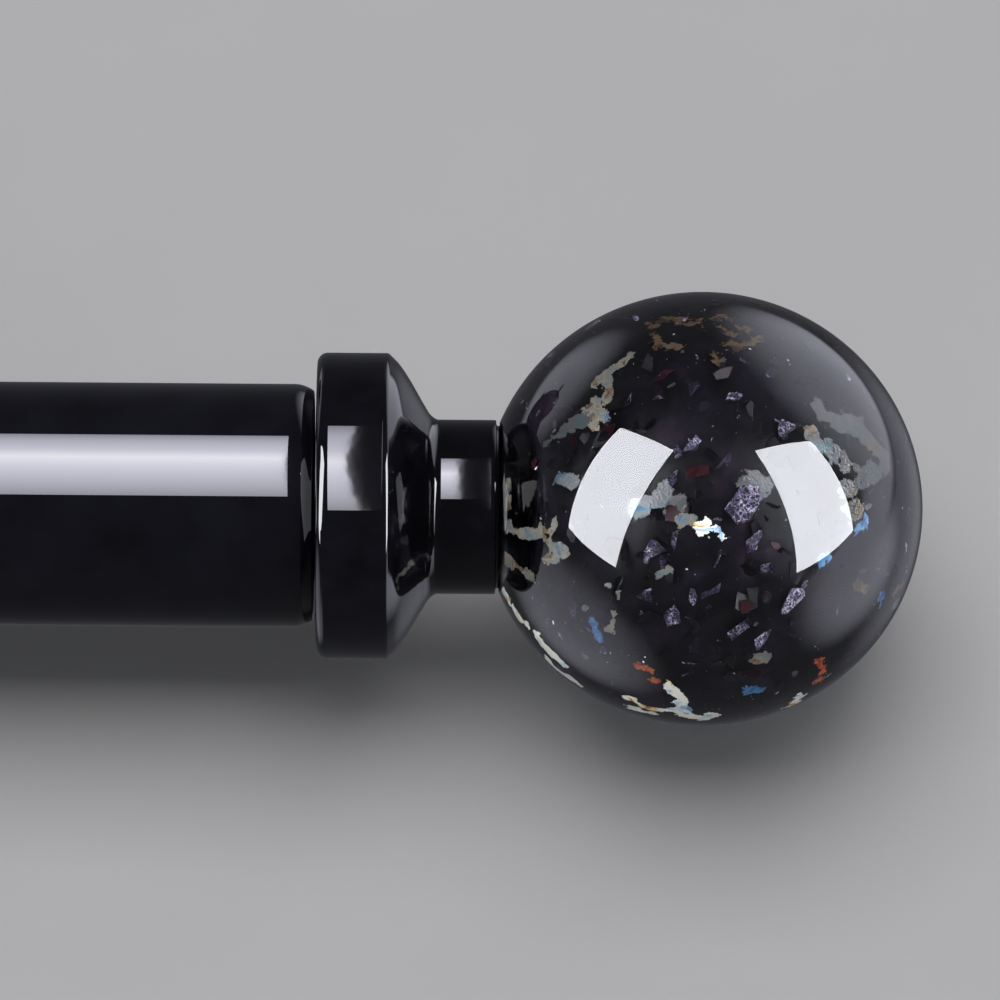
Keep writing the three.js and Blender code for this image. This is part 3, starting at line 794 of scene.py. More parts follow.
def chipTree():
    # flat angular chips on a shell, some where they are named and the rest strewn by chance
    tree, entry = newGeometryTree(
        "crackledChips",
        {
            "Radius": ("Float", 0.0176),
            "Density": ("Float", 20000.0),
            "Smallest": ("Float", 0.0001),
            "Largest": ("Float", 0.0006),
            "Tilt": ("Float", 0.5),
            "Seed": ("Int", 1),
            "Centre": ("Vector", (0, 0, 0)),
            "Material": ("Material", None),
        },
    )
    shell = addNode(tree, "GeometryNodeMeshIcoSphere", inputs={"Radius": entry["Radius"], "Subdivisions": 5})
    strewn = addNode(
        tree,
        "GeometryNodeDistributePointsOnFaces",
        inputs={"Mesh": shell, "Density": entry["Density"], "Seed": entry["Seed"]},
    )
    adding = {"operation": "ADD"}
    seeds = [addNode(tree, "ShaderNodeMath", adding, {0: entry["Seed"], 1: float(i)}) for i in (1, 2, 3)]
    oneNumber = {"data_type": "FLOAT"}
    chance = addNode(tree, "FunctionNodeRandomValue", oneNumber, {2: 0.0, 3: 1.0, "Seed": seeds[0]})
    share = addNode(tree, "ShaderNodeMath", {"operation": "POWER"}, {0: chance, 1: 3.0})
    bounds = {0: entry["Largest"], 1: entry["Smallest"]}
    spread = addNode(tree, "ShaderNodeMath", {"operation": "SUBTRACT"}, bounds)
    grown = {0: share, 1: spread, 2: entry["Smallest"]}
    size = addNode(tree, "ShaderNodeMath", {"operation": "MULTIPLY_ADD"}, grown)
    sized = addNode(
        tree,
        "GeometryNodeStoreNamedAttribute",
        {"data_type": "FLOAT"},
        {"Geometry": strewn, "Name": "chipSize", "Value": size},
    )
    named = addNode(tree, "GeometryNodeMeshToPoints", inputs={"Mesh": entry["Geometry"]})
    points = addNode(tree, "GeometryNodeJoinGeometry", inputs={0: [sized, named]})

    hexagon = {"Vertices": 6, "Radius": 0.5, "Depth": 0.05}
    chip = addNode(tree, "GeometryNodeMeshCylinder", {"fill_type": "NGON"}, hexagon)
    position = addNode(tree, "GeometryNodeInputPosition")
    facing = addNode(tree, "FunctionNodeAlignRotationToVector", {"axis": "Z"}, {"Vector": position})
    anyWay = {0: (-1, -1, -9), 1: (1, 1, 9), "Seed": seeds[1]}
    lean = addNode(tree, "FunctionNodeRandomValue", {"data_type": "FLOAT_VECTOR"}, anyWay)
    tilt = addNode(tree, "ShaderNodeCombineXYZ", inputs={"X": entry["Tilt"], "Y": entry["Tilt"], "Z": 1.0})
    turn = addNode(tree, "ShaderNodeVectorMath", {"operation": "MULTIPLY"}, {0: lean, 1: tilt})
    leaning = addNode(
        tree, "FunctionNodeRotateRotation", {"rotation_space": "LOCAL"}, {"Rotation": facing, "Rotate By": turn}
    )
    width = addNode(tree, "GeometryNodeInputNamedAttribute", {"data_type": "FLOAT"}, {"Name": "chipSize"})
    narrow = addNode(tree, "FunctionNodeRandomValue", oneNumber, {2: 0.4, 3: 0.85, "Seed": seeds[2]})
    depth = addNode(tree, "ShaderNodeMath", {"operation": "MULTIPLY"}, {0: width, 1: narrow})
    scale = addNode(tree, "ShaderNodeCombineXYZ", inputs={"X": width, "Y": depth, "Z": width})
    chips = addNode(
        tree,
        "GeometryNodeInstanceOnPoints",
        inputs={"Points": points, "Instance": chip, "Rotation": leaning, "Scale": scale},
    )
    real = addNode(tree, "GeometryNodeRealizeInstances", inputs={"Geometry": chips})

    # corners are pushed about so that no chip keeps its regular outline
    coarse = {"Vector": position, "Scale": 650.0, "Detail": 1.0}
    jitter = addNode(tree, "ShaderNodeTexNoise", inputs=coarse).outputs["Color"]
    centred = addNode(tree, "ShaderNodeVectorMath", {"operation": "SUBTRACT"}, {0: jitter, 1: (0.5, 0.5, 0.5)})
    shift = addNode(tree, "ShaderNodeVectorMath", {"operation": "SCALE"}, {0: centred, "Scale": 0.0026})
    broken = addNode(tree, "GeometryNodeSetPosition", inputs={"Geometry": real, "Offset": shift})
    placed = addNode(tree, "GeometryNodeTransform", inputs={"Geometry": broken, "Translation": entry["Centre"]})
    endTree(tree, placed, entry["Material"])
    return tree


def overBall(spot, outward):
    # a unit direction over the ball's face; the left ball is the right one's mirror image
    around, out = math.radians(spot[0]), math.radians(spot[1])
    across = Vector((outward, 0, 0)) * math.cos(around) + faceUp * math.sin(around)
    return faceOut * math.cos(out) + across * math.sin(out)


def leafPiece(hand, finish, tree, seed):
    # one colour of leaf in one ball, grown from its tear lines
    ball = balls[hand]
    width, rag, grain, tears = leafTears[finish]
    radius = ball["radius"] - leafing["depth"] * mm
    lines = bmesh.new()
    for tear in tears:
        spots = [overBall(spot, ball["outward"]) for spot in tear]
        corners = [lines.verts.new(spot * radius) for spot in spots]
        for first, second in zip(corners, corners[1:]):
            lines.edges.new([first, second])
    piece = finishMesh(f"{finish}_{hand}", lines)
    growTree(
        piece,
        tree,
        {
            "Radius": radius,
            "Width": width * mm,
            "Rag": rag * mm,
            "Grain": 1 / (grain * mm),
            "Crumple": leafing["crumple"] * mm,
            "Thickness": leafing["thickness"] * mm,
            "Seed": float(seed),
            "Centre": tuple(ball["centre"]),
            "Material": finishes[finish][0],
        },
    )
    return settle(piece, f"finial_{hand}", finish)


def filmPiece(hand, finish, tree, seed, density, smallest, largest, depth):
    # one colour of chips in one ball; the depth is outwards from the ball's heart
    ball = balls[hand]
    radius = ball["radius"] - ball["wall"] + depth * mm
    spots = bmesh.new()
    size = spots.verts.layers.float.new("chipSize")
    for around, out, width in filmPieces.get(finish, []):
        vertex = spots.verts.new(overBall((around, out), ball["outward"]) * radius)
        vertex[size] = width * mm
    piece = finishMesh(f"{finish}_{hand}", spots)
    growTree(
        piece,
        tree,
        {
            "Radius": radius,
            "Density": density,
            "Smallest": smallest * mm,
            "Largest": largest * mm,
            "Tilt": leafing["chipTilt"],
            "Seed": seed,
            "Centre": tuple(ball["centre"]),
            "Material": finishes[finish][0],
        },
    )
    return settle(piece, f"finial_{hand}", finish)


tornLeaf, crackledChips = leafTree(), chipTree()
leaves = []
for hand in hands:
    for seed, finish in enumerate(leafTears):
        leaves.append(leafPiece(hand, finish, tornLeaf, seed + 3))
    for finish, chips in strewnChips.items():
        filmPiece(hand, finish, crackledChips, *chips)
print("leaf and film laid in the balls")

# The bracket pieces. Their sizes are in millimetres; distances out from the wall run along -Y.
bracket = {
    "plateRadius": 22.5,
    "plateThickness": 4.0,
    "plateRound": 2.5,
    "bossRadius": 11.0,
    "bossHeight": 9.0,
    "bossRound": 1.0,
    "bossBore": 8.3,
    "socketFloor": 3.0,
    "screwOffset": 15.5,
    "screwHole": 2.3,
    "screwRadius": 2.0,
    "screwHead": 4.0,
    "sleeveBore": 5.3,
    "sleeveRadius": 8.0,
    "sleeveStart": 3.3,
    "sleeveEnd": 48.0,
    "sleeveEdge": 0.6,
    "lockHole": 2.3,
    "lockPlace": 41.0,
}
bracketPlaces = {hand: middle(f"wall_plate_{hand}").x for hand in hands}
rodAxis = middle("outer_tube").y


def inMetres(outline):
    return [(along * mm, radius * mm) for along, radius in outline]


def roundCorner(along, radius, reach, start, end, steps=8):
    # corners along a quarter round, from one angle to the other in degrees
    angles = [math.radians(start + (end - start) * i / steps) for i in range(steps + 1)]
    return [(along + reach * math.cos(a), radius + reach * math.sin(a)) for a in angles]


def turnedFrom(name, outline, closed, axis, side, centre, sides):
    return spin(name, roundedOutline(inMetres(outline), closed), closed, axis, side, centre, sides)


def cutter(outline, axis, side, centre, sides=48):
    return spin("cutter", inMetres(outline), False, axis, side, centre, sides)


def wallPlate(hand):
    b = bracket
    outline = [(0, 0), (0, b["plateRadius"])]
    outline += roundCorner(
        b["plateThickness"] - b["plateRound"], b["plateRadius"] - b["plateRound"], b["plateRound"], 90, 0
    )
    outline += [(b["plateThickness"], b["bossRadius"])]
    outline += roundCorner(
        b["bossHeight"] - b["bossRound"], b["bossRadius"] - b["bossRound"], b["bossRound"], 90, 0, 5
    )
    outline += [(b["bossHeight"], b["bossBore"]), (b["socketFloor"], b["bossBore"]), (b["socketFloor"], 0)]
    centre = Vector((bracketPlaces[hand], 0, 0))
    name = f"wall_plate_{hand}"
    piece = turnedFrom(f"{name}_fine", outline, False, outFromWall, alongRod, centre, turning["sides"])
    face, hole, head = b["plateThickness"], b["screwHole"], b["screwHead"]
    throat = face - head + b["screwRadius"] - 0.3
    mouth = [(-1, 0), (-1, hole), (throat, hole), (face + 1, head + 1.3), (face + 1, 0)]
    places = [centre + up * way * b["screwOffset"] * mm for way in (1, -1)]
    carve(piece, [cutter(mouth, outFromWall, alongRod, place) for place in places])
    settle(piece, "wall_brackets", "castLacquer", name)


def sleeve(hand):
    b = bracket
    start, end, edge, outside = b["sleeveStart"], b["sleeveEnd"], b["sleeveEdge"], b["sleeveRadius"]
    bore, hole = b["sleeveBore"], b["lockHole"]
    outline = [(start, bore), (start, outside)]
    outline += [*roundCorner(end - edge, outside - edge, edge, 90, 0, 4), (end, bore)]
    centre = Vector((bracketPlaces[hand], 0, 0))
    piece = turnedFrom(f"sleeve_{hand}_fine", outline, True, outFromWall, alongRod, centre, 96)
    drill = [(bore - 1, 0), (bore - 1, hole), (outside + 1, hole), (outside + 1, 0)]
    carve(piece, [cutter(drill, -up, alongRod, centre + outFromWall * b["lockPlace"] * mm)])
    settle(piece, "wall_brackets", "castLacquer", f"sleeve_{hand}")


for hand in hands:
    wallPlate(hand)
    sleeve(hand)
print("wall plates and sleeves made")

# The cradle is an open trough about the rod, with a boss in front for the thumb screw.
trough = {
    "inner": 14.8,
    "outer": 17.8,
    "front": 6.0,
    "back": 8.0,
    "width": 14.0,
    "bevel": 0.4,
    "bossRadius": 5.5,
    "bossReach": 2.5,
    "thumbHole": 2.8,
    "screwHole": 2.3,
    "screwMouth": 5.3,
    "mouthDepth": 2.3,
    "padOuter": 14.5,
    "padClearance": 0.3,
    "padInset": 1.0,
    "padHole": 4.3,
    "padBevel": 0.25,
    "arcSteps": 72,
    "tipSteps": 14,
}


def troughShape(name, hand, inner, outer, front, back, width, bevel):
    # half round below the rod's axis, with straight sides that are round at their tips
    centre = (inner + outer) / 2
    tip = (outer - inner) / 2

    def sweep(y, z, reach, start, end, steps):
        angles = [math.radians(start + (end - start) * i / steps) for i in range(steps + 1)]
        return [(y + reach * math.cos(a), z + reach * math.sin(a)) for a in angles]

    arcSteps, tipSteps = trough["arcSteps"], trough["tipSteps"]
    outline = sweep(0, 0, outer, 180, 360, arcSteps) + sweep(centre, back, tip, 0, 180, tipSteps)
    outline += sweep(0, 0, inner, 360, 180, arcSteps) + sweep(-centre, front, tip, 0, 180, tipSteps)
    mesh = bmesh.new()
    sides = []
    for way in (-1, 1):
        x = bracketPlaces[hand] + way * width / 2 * mm
        sides.append([mesh.verts.new((x, rodAxis + y * mm, z * mm)) for y, z in outline])
    for i in range(len(outline)):
        j = (i + 1) % len(outline)
        mesh.faces.new([sides[0][i], sides[0][j], sides[1][j], sides[1][i]])
    for ring in sides:
        mesh.faces.new(ring)
    bmesh.ops.remove_doubles(mesh, verts=mesh.verts, dist=1e-6)
    bmesh.ops.recalc_face_normals(mesh, faces=mesh.faces)
    piece = finishMesh(name, mesh)
    rounding = piece.modifiers.new("rounding", "BEVEL")
    rounding.width = bevel * mm
    rounding.segments = 3
    rounding.limit_method = "ANGLE"
    rounding.angle_limit = math.radians(50)
    return bakeModifiers(piece)


def crossHole(hand, start, end, radius):
    # a cutter through the trough, between two distances from the rod's axis out along -Y
    centre = Vector((bracketPlaces[hand], 0, 0))
    low, high = start - rodAxis / mm, end - rodAxis / mm
    return cutter([(low, 0), (low, radius), (high, radius), (high, 0)], outFromWall, up, centre)


def cradle(hand):
    t = trough
    name = f"cradle_{hand}"
    inner, outer, bevel = t["inner"], t["outer"], t["bevel"]
    piece = troughShape(f"{name}_fine", hand, inner, outer, t["front"], t["back"], t["width"], bevel)
    base = -rodAxis / mm
    end = base + outer + t["bossReach"]
    outline = [(base + outer - 1, 0), (base + outer - 1, t["bossRadius"])]
    outline += [*roundCorner(end - bevel, t["bossRadius"] - bevel, bevel, 90, 0, 4), (end, 0)]
    centre = Vector((bracketPlaces[hand], 0, 0))
    carve(piece, [spin("boss", inMetres(outline), False, outFromWall, up, centre, 72)], "UNION")
    hole, mouthRadius = t["screwHole"], t["screwMouth"]
    start, throat, end = base - outer - 1, base - inner - t["mouthDepth"], base - inner + 1
    mouth = [(start, 0), (start, hole), (throat, hole), (end, mouthRadius), (end, 0)]
    thumb = crossHole(hand, inner - 1, outer + t["bossReach"] + 1, t["thumbHole"])
    carve(piece, [thumb, cutter(mouth, outFromWall, up, centre)])
    settle(piece, f"arm_{hand}", "castLacquer", name)


def cradlePad(hand):
    t = trough
    name = f"cradle_pad_{hand}"
    tube = "outer_tube" if hand == "right" else "inner_tube"
    low, high = nodeBoxes[tube]
    inner, outer, inset = (high.z - low.z) / 2 / mm + t["padClearance"], t["padOuter"], t["padInset"]
    front, back, width = t["front"] - inset, t["back"] - inset, t["width"] - 2 * inset
    piece = troughShape(f"{name}_fine", hand, inner, outer, front, back, width, t["padBevel"])
    thumb = crossHole(hand, inner - 2, outer + 1, t["thumbHole"])
    carve(piece, [thumb, crossHole(hand, -outer - 1, 2 - inner, t["padHole"])])
    settle(piece, f"arm_{hand}", "mattRubber", name)


for hand in hands:
    cradle(hand)
    cradlePad(hand)
print("cradles made")


def ridgeTree():
    # presses ridges into a turned piece between two places on its axis: a thread, or a knurl
    tree, entry = newGeometryTree(
        "ridges",
        {
            "Centre": ("Vector", (0, 0, 0)),
            "Axis": ("Vector", (1, 0, 0)),
            "Side": ("Vector", (0, 0, 1)),
            "From": ("Float", 0.0),
            "To": ("Float", 0.01),
            "Ease": ("Float", 0.0005),
            "Core": ("Float", 0.001),
            "Rim": ("Float", 0.002),
            "Starts": ("Float", 1.0),
            "Turns": ("Float", 1000.0),
            "Depth": ("Float", 0.0003),
            "Material": ("Material", None),
        },
    )
    position = addNode(tree, "GeometryNodeInputPosition")
    arm = addNode(tree, "ShaderNodeVectorMath", {"operation": "SUBTRACT"}, {0: position, 1: entry["Centre"]})
    along = addNode(tree, "ShaderNodeVectorMath", {"operation": "DOT_PRODUCT"}, {0: arm, 1: entry["Axis"]})
    onAxis = addNode(tree, "ShaderNodeVectorMath", {"operation": "SCALE"}, {0: entry["Axis"], "Scale": along})
    outward = addNode(tree, "ShaderNodeVectorMath", {"operation": "SUBTRACT"}, {0: arm, 1: onAxis})
    radius = addNode(tree, "ShaderNodeVectorMath", {"operation": "LENGTH"}, {0: outward})
    right = addNode(tree, "ShaderNodeVectorMath", {"operation": "DOT_PRODUCT"}, {0: outward, 1: entry["Side"]})
    across = addNode(
        tree, "ShaderNodeVectorMath", {"operation": "CROSS_PRODUCT"}, {0: entry["Axis"], 1: entry["Side"]}
    )
    ahead = addNode(tree, "ShaderNodeVectorMath", {"operation": "DOT_PRODUCT"}, {0: outward, 1: across})

    angle = addNode(tree, "ShaderNodeMath", {"operation": "ARCTAN2"}, {0: ahead, 1: right})
    turn = addNode(tree, "ShaderNodeMath", {"operation": "DIVIDE"}, {0: angle, 1: 2 * math.pi})
    climb = addNode(tree, "ShaderNodeMath", {"operation": "MULTIPLY"}, {0: along, 1: entry["Turns"]})
    helix = {0: turn, 1: entry["Starts"], 2: climb}
    phase = addNode(tree, "ShaderNodeMath", {"operation": "MULTIPLY_ADD"}, helix)
    halves = addNode(tree, "ShaderNodeMath", {"operation": "MULTIPLY"}, {0: phase, 1: 2.0})
    wave = addNode(tree, "ShaderNodeMath", {"operation": "PINGPONG"}, {0: halves, 1: 1.0})

    # the ridges rise from nothing at both ends, and fade towards the axis
    begun = addNode(tree, "ShaderNodeMath", {"operation": "ADD"}, {0: entry["From"], 1: entry["Ease"]})
    ended = addNode(tree, "ShaderNodeMath", {"operation": "SUBTRACT"}, {0: entry["To"], 1: entry["Ease"]})
    slopes = ((along, entry["From"], begun), (along, entry["To"], ended), (radius, entry["Core"], entry["Rim"]))
    amount, *factors = [
        addNode(tree, "ShaderNodeMapRange", inputs={"Value": value, "From Min": nothing, "From Max": full})
        for value, nothing, full in slopes
    ]
    for factor in (*factors, wave, entry["Depth"]):
        amount = addNode(tree, "ShaderNodeMath", {"operation": "MULTIPLY"}, {0: amount, 1: factor})
    inward = addNode(tree, "ShaderNodeMath", {"operation": "MULTIPLY"}, {0: amount, 1: -1.0})
    heading = addNode(tree, "ShaderNodeVectorMath", {"operation": "NORMALIZE"}, {0: outward})
    offset = addNode(tree, "ShaderNodeVectorMath", {"operation": "SCALE"}, {0: heading, "Scale": inward})
    ridged = addNode(tree, "GeometryNodeSetPosition", inputs={"Geometry": entry["Geometry"], "Offset": offset})
    endTree(tree, ridged, entry["Material"])
    return tree


def addRings(outline, start, end, step):
    # more rings along the straight sides between two places, fine enough to carry ridges
    fine = [outline[0]]
    for (along, radius), (nextAlong, nextRadius) in zip(outline, outline[1:]):
        inside = min(along, nextAlong) >= start - 1e-9 and max(along, nextAlong) <= end + 1e-9
        count = max(1, math.ceil(abs(nextAlong - along) / step)) if inside else 1
        for i in range(1, count + 1):
            share = i / count
            fine.append((along + (nextAlong - along) * share, radius + (nextRadius - radius) * share))
    return fine


ridges = ridgeTree()


def ridgedPiece(name, outline, axis, side, centre, sides, finish, cuts, carving=()):
    # a piece turned from its outline; each cut is (from, to, core, rim, starts, pitch, depth)
    fine = outline
    for start, end, core, rim, starts, pitch, depth in cuts:
        fine = addRings(fine, start, end, pitch / 8 if pitch else 0.5)
    piece = spin(f"{name}_fine", inMetres(fine), False, axis, side, centre, sides)
    piece.data.materials.append(finishes[finish][0])
    for start, end, core, rim, starts, pitch, depth in cuts:
        values = {
            "Centre": tuple(centre - axis * centre.dot(axis)),
            "Axis": tuple(axis),
            "Side": tuple(side),
            "From": start * mm,
            "To": end * mm,
            "Ease": 0.6 * mm if pitch else 0.35 * mm,
            "Core": core * mm,
            "Rim": rim * mm,
            "Starts": float(starts),
            "Turns": 1 / (pitch * mm) if pitch else 0.0,
            "Depth": depth * mm,
            "Material": finishes[finish][0],
        }
        growTree(piece, ridges, values)
    if carving:
        carve(piece, carving)
    settle(piece, bodyOf[name], finish, name)


def boxCutter(centre, size):
    block = bmesh.new()
    bmesh.ops.create_cube(block, size=1.0)
    bmesh.ops.scale(block, verts=block.verts, vec=size)
    bmesh.ops.translate(block, verts=block.verts, vec=centre)
    return finishMesh("cutter", block)


# Countersunk screws have a cross recess and a coarse thread cut into the shank. Here are each kind's
# length, pitch, depth of thread and plain neck, in millimetres.
screwThreads = {"wall": (34.0, 1.4, 0.32, 4.0), "cradle": (14.0, 0.7, 0.18, 1.0)}


def countersunk(name, kind, axis, side, centre, face):
    length, pitch, depth, plain = screwThreads[kind]
    radius, head = bracket["screwRadius"], bracket["screwHead"]
    point = 2 * radius
    start, threadEnd = face - length, face - plain - 2.4
    outline = [(start, 0), (start + 0.3, 0.2), (start + point, radius), (threadEnd, radius)]
    outline += [(face + radius - head, radius), (face - 0.18, head - 0.12), (face, head - 0.3), (face, 0)]
    cuts = [(start + 0.3, threadEnd, 0.15, radius * 0.9, 1, pitch, depth)]
    recessHeight, recessLength, recessWidth = 1.8, 4.4, 0.9
    seat = centre - axis * centre.dot(axis) + axis * face * mm
    across = axis.cross(side)

    def bar(long, wide):
        extent = [abs(axis[i]) * recessHeight + abs(side[i]) * long + abs(across[i]) * wide for i in range(3)]
        return boxCutter(seat, Vector(extent) * mm)

    recess = [bar(recessLength, recessWidth), bar(recessWidth, recessLength)]
    ridgedPiece(name, outline, axis, side, centre, 48, "blackOxide", cuts, recess)


for hand in hands:
    for place, way in (("upper", 1), ("lower", -1)):
        name = f"wall_screw_{hand}_{place}"
        centre = Vector((bracketPlaces[hand], 0, way * bracket["screwOffset"] * mm))
        countersunk(name, "wall", outFromWall, alongRod, centre, bracket["plateThickness"])
    # the cradle's screw points at the wall's arm, so its head faces the rod
    name, centre = f"cradle_screw_{hand}", Vector((bracketPlaces[hand], 0, 0))
    countersunk(name, "cradle", outFromWall, alongRod, centre, -nodeBoxes[name][0].y / mm)
print("countersunk screws made")

# Thumb and lock screws: shank radius, head radius, pitch and knurl ridges. Their heads share a profile.
turnScrews = {"thumb": (2.5, 6.5, 0.8, 26), "lock": (2.0, 5.5, 0.7, 22)}
turnHead = {"crown": 0.6, "knurl": 5.0, "collar": 1.2, "waistStep": 2}


def turnScrew(kind, hand):
    name = f"{kind}_screw_{hand}"
    shank, head, pitch, ridgeCount = turnScrews[kind]
    axis, side = (outFromWall, up) if kind == "thumb" else (-up, alongRod)
    low, high = nodeBoxes[name]
    ends = sorted((low.dot(axis) / mm, high.dot(axis) / mm))
    centre = middle(name)
    top = ends[1] - turnHead["crown"]
    base = top - turnHead["knurl"]
    collarStart = base - turnHead["collar"]
    waist = head - turnHead["waistStep"]
    outline = [
        (ends[0], 0), (ends[0], shank - 0.3), (ends[0] + 0.3, shank), (collarStart, shank),
        (collarStart, waist - 0.2), (collarStart + 0.2, waist), (base, waist),
        (base, head - 1.0), (base + 0.15, head - 0.35), (base + 0.5, head),
        (top - 0.5, head), (top - 0.15, head - 0.35), (top, head - 1.0),
        (top, waist + 0.8), (top + 0.35, waist + 0.35), (top + 0.6, waist - 0.3), (top + 0.6, 0),
    ]
    cuts = [
        (ends[0] + 0.3, collarStart - 0.3, 0.2, shank * 0.95, 1, pitch, pitch * 0.5),
        (base - 0.01, top + 0.01, head - 1.1, head - 0.4, ridgeCount, 0, 0.5),
    ]
    ridgedPiece(name, outline, axis, side, centre, ridgeCount * 8, "blackOxide", cuts)
    turnedPiece(f"{kind}_tip_{hand}", axis, side, "mouldedNylon", small=True)


# The stud is a length of threaded rod, and the nut that locks it is a plain hexagon.
studding = {"radius": 3.0, "bevel": 0.6, "pitch": 1.0, "threadDepth": 0.5}
nutting = {"acrossFlats": 10.0, "faceRadius": 4.9, "chamfer": 0.5, "bore": 3.3, "flare": 1.5}


def stud(hand):
    name = f"stud_{hand}"
    low, high = nodeBoxes[name]
    radius, bevel = studding["radius"], studding["bevel"]
    start, end = low.x / mm, high.x / mm
    outline = [(start, 0), (start, radius - bevel), (start + bevel, radius)]
    outline += [(end - bevel, radius), (end, radius - bevel), (end, 0)]
    cuts = [(start + 0.2, end - 0.2, 0.5, radius * 0.95, 1, studding["pitch"], studding["threadDepth"])]
    ridgedPiece(name, outline, alongRod, up, middle(name), 64, "zincPlate", cuts)


def lockNut(hand):
    name = f"lock_nut_{hand}"
    low, high = nodeBoxes[name]
    centre = middle(name)
    start, end = low.x / mm, high.x / mm
    corner = nutting["acrossFlats"] / math.sqrt(3)
    face, chamfer, outside = nutting["faceRadius"], nutting["chamfer"], corner + 0.1
    outline = [(start, 0), (start, face), (start + chamfer, outside)]
    outline += [(end - chamfer, outside), (end, face), (end, 0)]
    piece = spin(f"{name}_fine", inMetres(outline), False, alongRod, up, centre, 96)
    prism = [(start - 1, 0), (start - 1, corner), (end + 1, corner), (end + 1, 0)]
    carve(piece, [cutter(prism, alongRod, up, centre, 6)], "INTERSECT")
    bore, flared = nutting["bore"], nutting["bore"] + nutting["flare"]
    drill = [(start - 1, 0), (start - 1, flared), (start + chamfer, bore)]
    drill += [(end - chamfer, bore), (end + 1, flared), (end + 1, 0)]
    carve(piece, [cutter(drill, alongRod, up, centre)])
    settle(piece, bodyOf[name], "zincPlate", name)


for hand in hands:
    turnScrew("thumb", hand)
    turnScrew("lock", hand)
    stud(hand)
    lockNut(hand)
print("small screws, studs and nuts made")


def palePlaster():
    # smooth pale plaster board, with a faint trowelled drift
    material, tree, shader, place = newMaterial("palePlaster")
    trowel = addNode(
        tree,
        "ShaderNodeTexNoise",
        inputs={"Vector": place, "Scale": perSize(40.0), "Detail": 6.0, "Roughness": 0.6},
    )
    stops = [(0.3, "#939393"), (0.7, "#969696")]
    tone = addNode(tree, "ShaderNodeValToRGB", inputs={"Fac": trowel}, stops=stops)
    joinInputs(tree, shader, {"Base Color": tone, "Roughness": 0.9})
    return material


floorSize = 40.0  # metres
floor = bmesh.new()
bmesh.ops.create_grid(floor, x_segments=8, y_segments=8, size=floorSize / 2)
floorLevel = min(low.z for low, high in nodeBoxes.values())
bmesh.ops.translate(floor, verts=floor.verts, vec=Vector((ballCentre.x, 0, floorLevel)))
floorPiece = finishMesh("floor", floor)
floorPiece.data.materials.append(palePlaster())
floorPiece.visible_glossy = False  # the lacquer mirrors the tent instead


def softbox(name, centre, across, down, strength, tint="#ffffff", only=None, fade=None):
    # a rectangular lamp: its centre and its two sides are in millimetres from the right ball's centre.
    # It lights only the pieces named; with none named it lights everything but the floor.
    data = bpy.data.lights.new(name, "AREA")
    data.shape = "RECTANGLE"
    data.size = across.length * mm
    data.size_y = down.length * mm
    data.energy = strength * data.size * data.size_y * math.pi
    data.color = colour(tint)[:3]
    if fade:
        # the cloth is brightest in the middle and falls off towards its long edges
        data.use_nodes = True
        tree = data.node_tree
        over = addNode(tree, "ShaderNodeNewGeometry").outputs["Parametric"]
        height = addNode(tree, "ShaderNodeSeparateXYZ", inputs={"Vector": over}).outputs["Y"]
        cloth = addNode(tree, "ShaderNodeValToRGB", inputs={"Fac": height}, stops=fade)
        joinInputs(tree, tree.nodes["Emission"], {"Color": cloth})
    lamp = bpy.data.objects.new(name, data)
    scene.collection.objects.link(lamp)
    normal = across.cross(down).normalized()
    if normal.dot(centre) < 0:
        normal = -normal
    side = across.normalized()
    turn = Matrix((side, normal.cross(side), normal)).transposed().to_4x4()
    lamp.matrix_world = Matrix.Translation(ballCentre + centre * mm) @ turn
    lamp.visible_camera = False
    group = bpy.data.collections.new(f"{name}Reach")
    for piece in only or [floorPiece]:
        group.objects.link(piece)
    if not only:
        group.collection_objects[0].light_linking.link_state = "EXCLUDE"
    lamp.light_linking.receiver_collection = group


panelDistance = 870  # millimetres


def ballPanel(name, corners, strength):
    # a softbox by three corners: inner top, outer top and inner bottom, in shares of its distance
    innerTop, outerTop, innerBottom = (Vector(corner) * panelDistance for corner in corners)
    across = outerTop - innerTop
    down = innerBottom - innerTop
    down -= across * down.dot(across) / across.length_squared
    softbox(name, innerTop + across / 2 + down / 2, across, down, strength, "#f6f8ff")


ballPanel("leftSoftbox", [(-0.251, -0.061, 0.966), (-0.822, 0.325, 0.964), (-0.827, -0.686, 0.196)], 18.0)
ballPanel("rightSoftbox", [(0.419, -0.030, 0.907), (1.075, 0.294, 0.811), (0.491, -0.557, 0.104)], 18.5)

# Long lamps that only the lacquer sees: (right end, left end, front, back, strength, pieces), all of them
# stripHeight above the ball.
stripHeight = 900
strips = {
    "rodStrip": (-57, -900, -450, 610, 20.0, tubes),
    "collarStrip": (-46.5, -80, -708, 462, 19.0, collars),
    "neckStrip": (-28.2, -32.6, -416, 556, 20.0, collars),
    "neckGlint": (-21.3, -22.3, -700, 600, 8.0, collars),
}
stripFade = [
    (0.0, "#a2a2a4"), (0.24, "#cbcbd0"), (0.42, "#e4e4ea"), (0.58, "#ffffff"),
    (0.7, "#d8d8de"), (0.86, "#bcbcc2"), (1.0, "#8f8f94"),
]
for name, (rightEnd, leftEnd, front, back, strength, pieces) in strips.items():
    centre = Vector(((rightEnd + leftEnd) / 2, (front + back) / 2, stripHeight))
    across, down = Vector((rightEnd - leftEnd, 0, 0)), Vector((0, back - front, 0))
    softbox(name, centre, across, down, strength, "#f2f1fb", pieces, stripFade)
clothCentre, clothSize = Vector((-300, 850, 4400)), 4400
clothSides = Vector((clothSize, 0, 0)), Vector((0, clothSize, 0))
softbox("overheadCloth", clothCentre, *clothSides, 4.7, "#fdfcff", [floorPiece])
kickerCentre, kickerSides = Vector((0, -620, 160)), (Vector((1500, 0, 0)), Vector((0, 60, 260)))
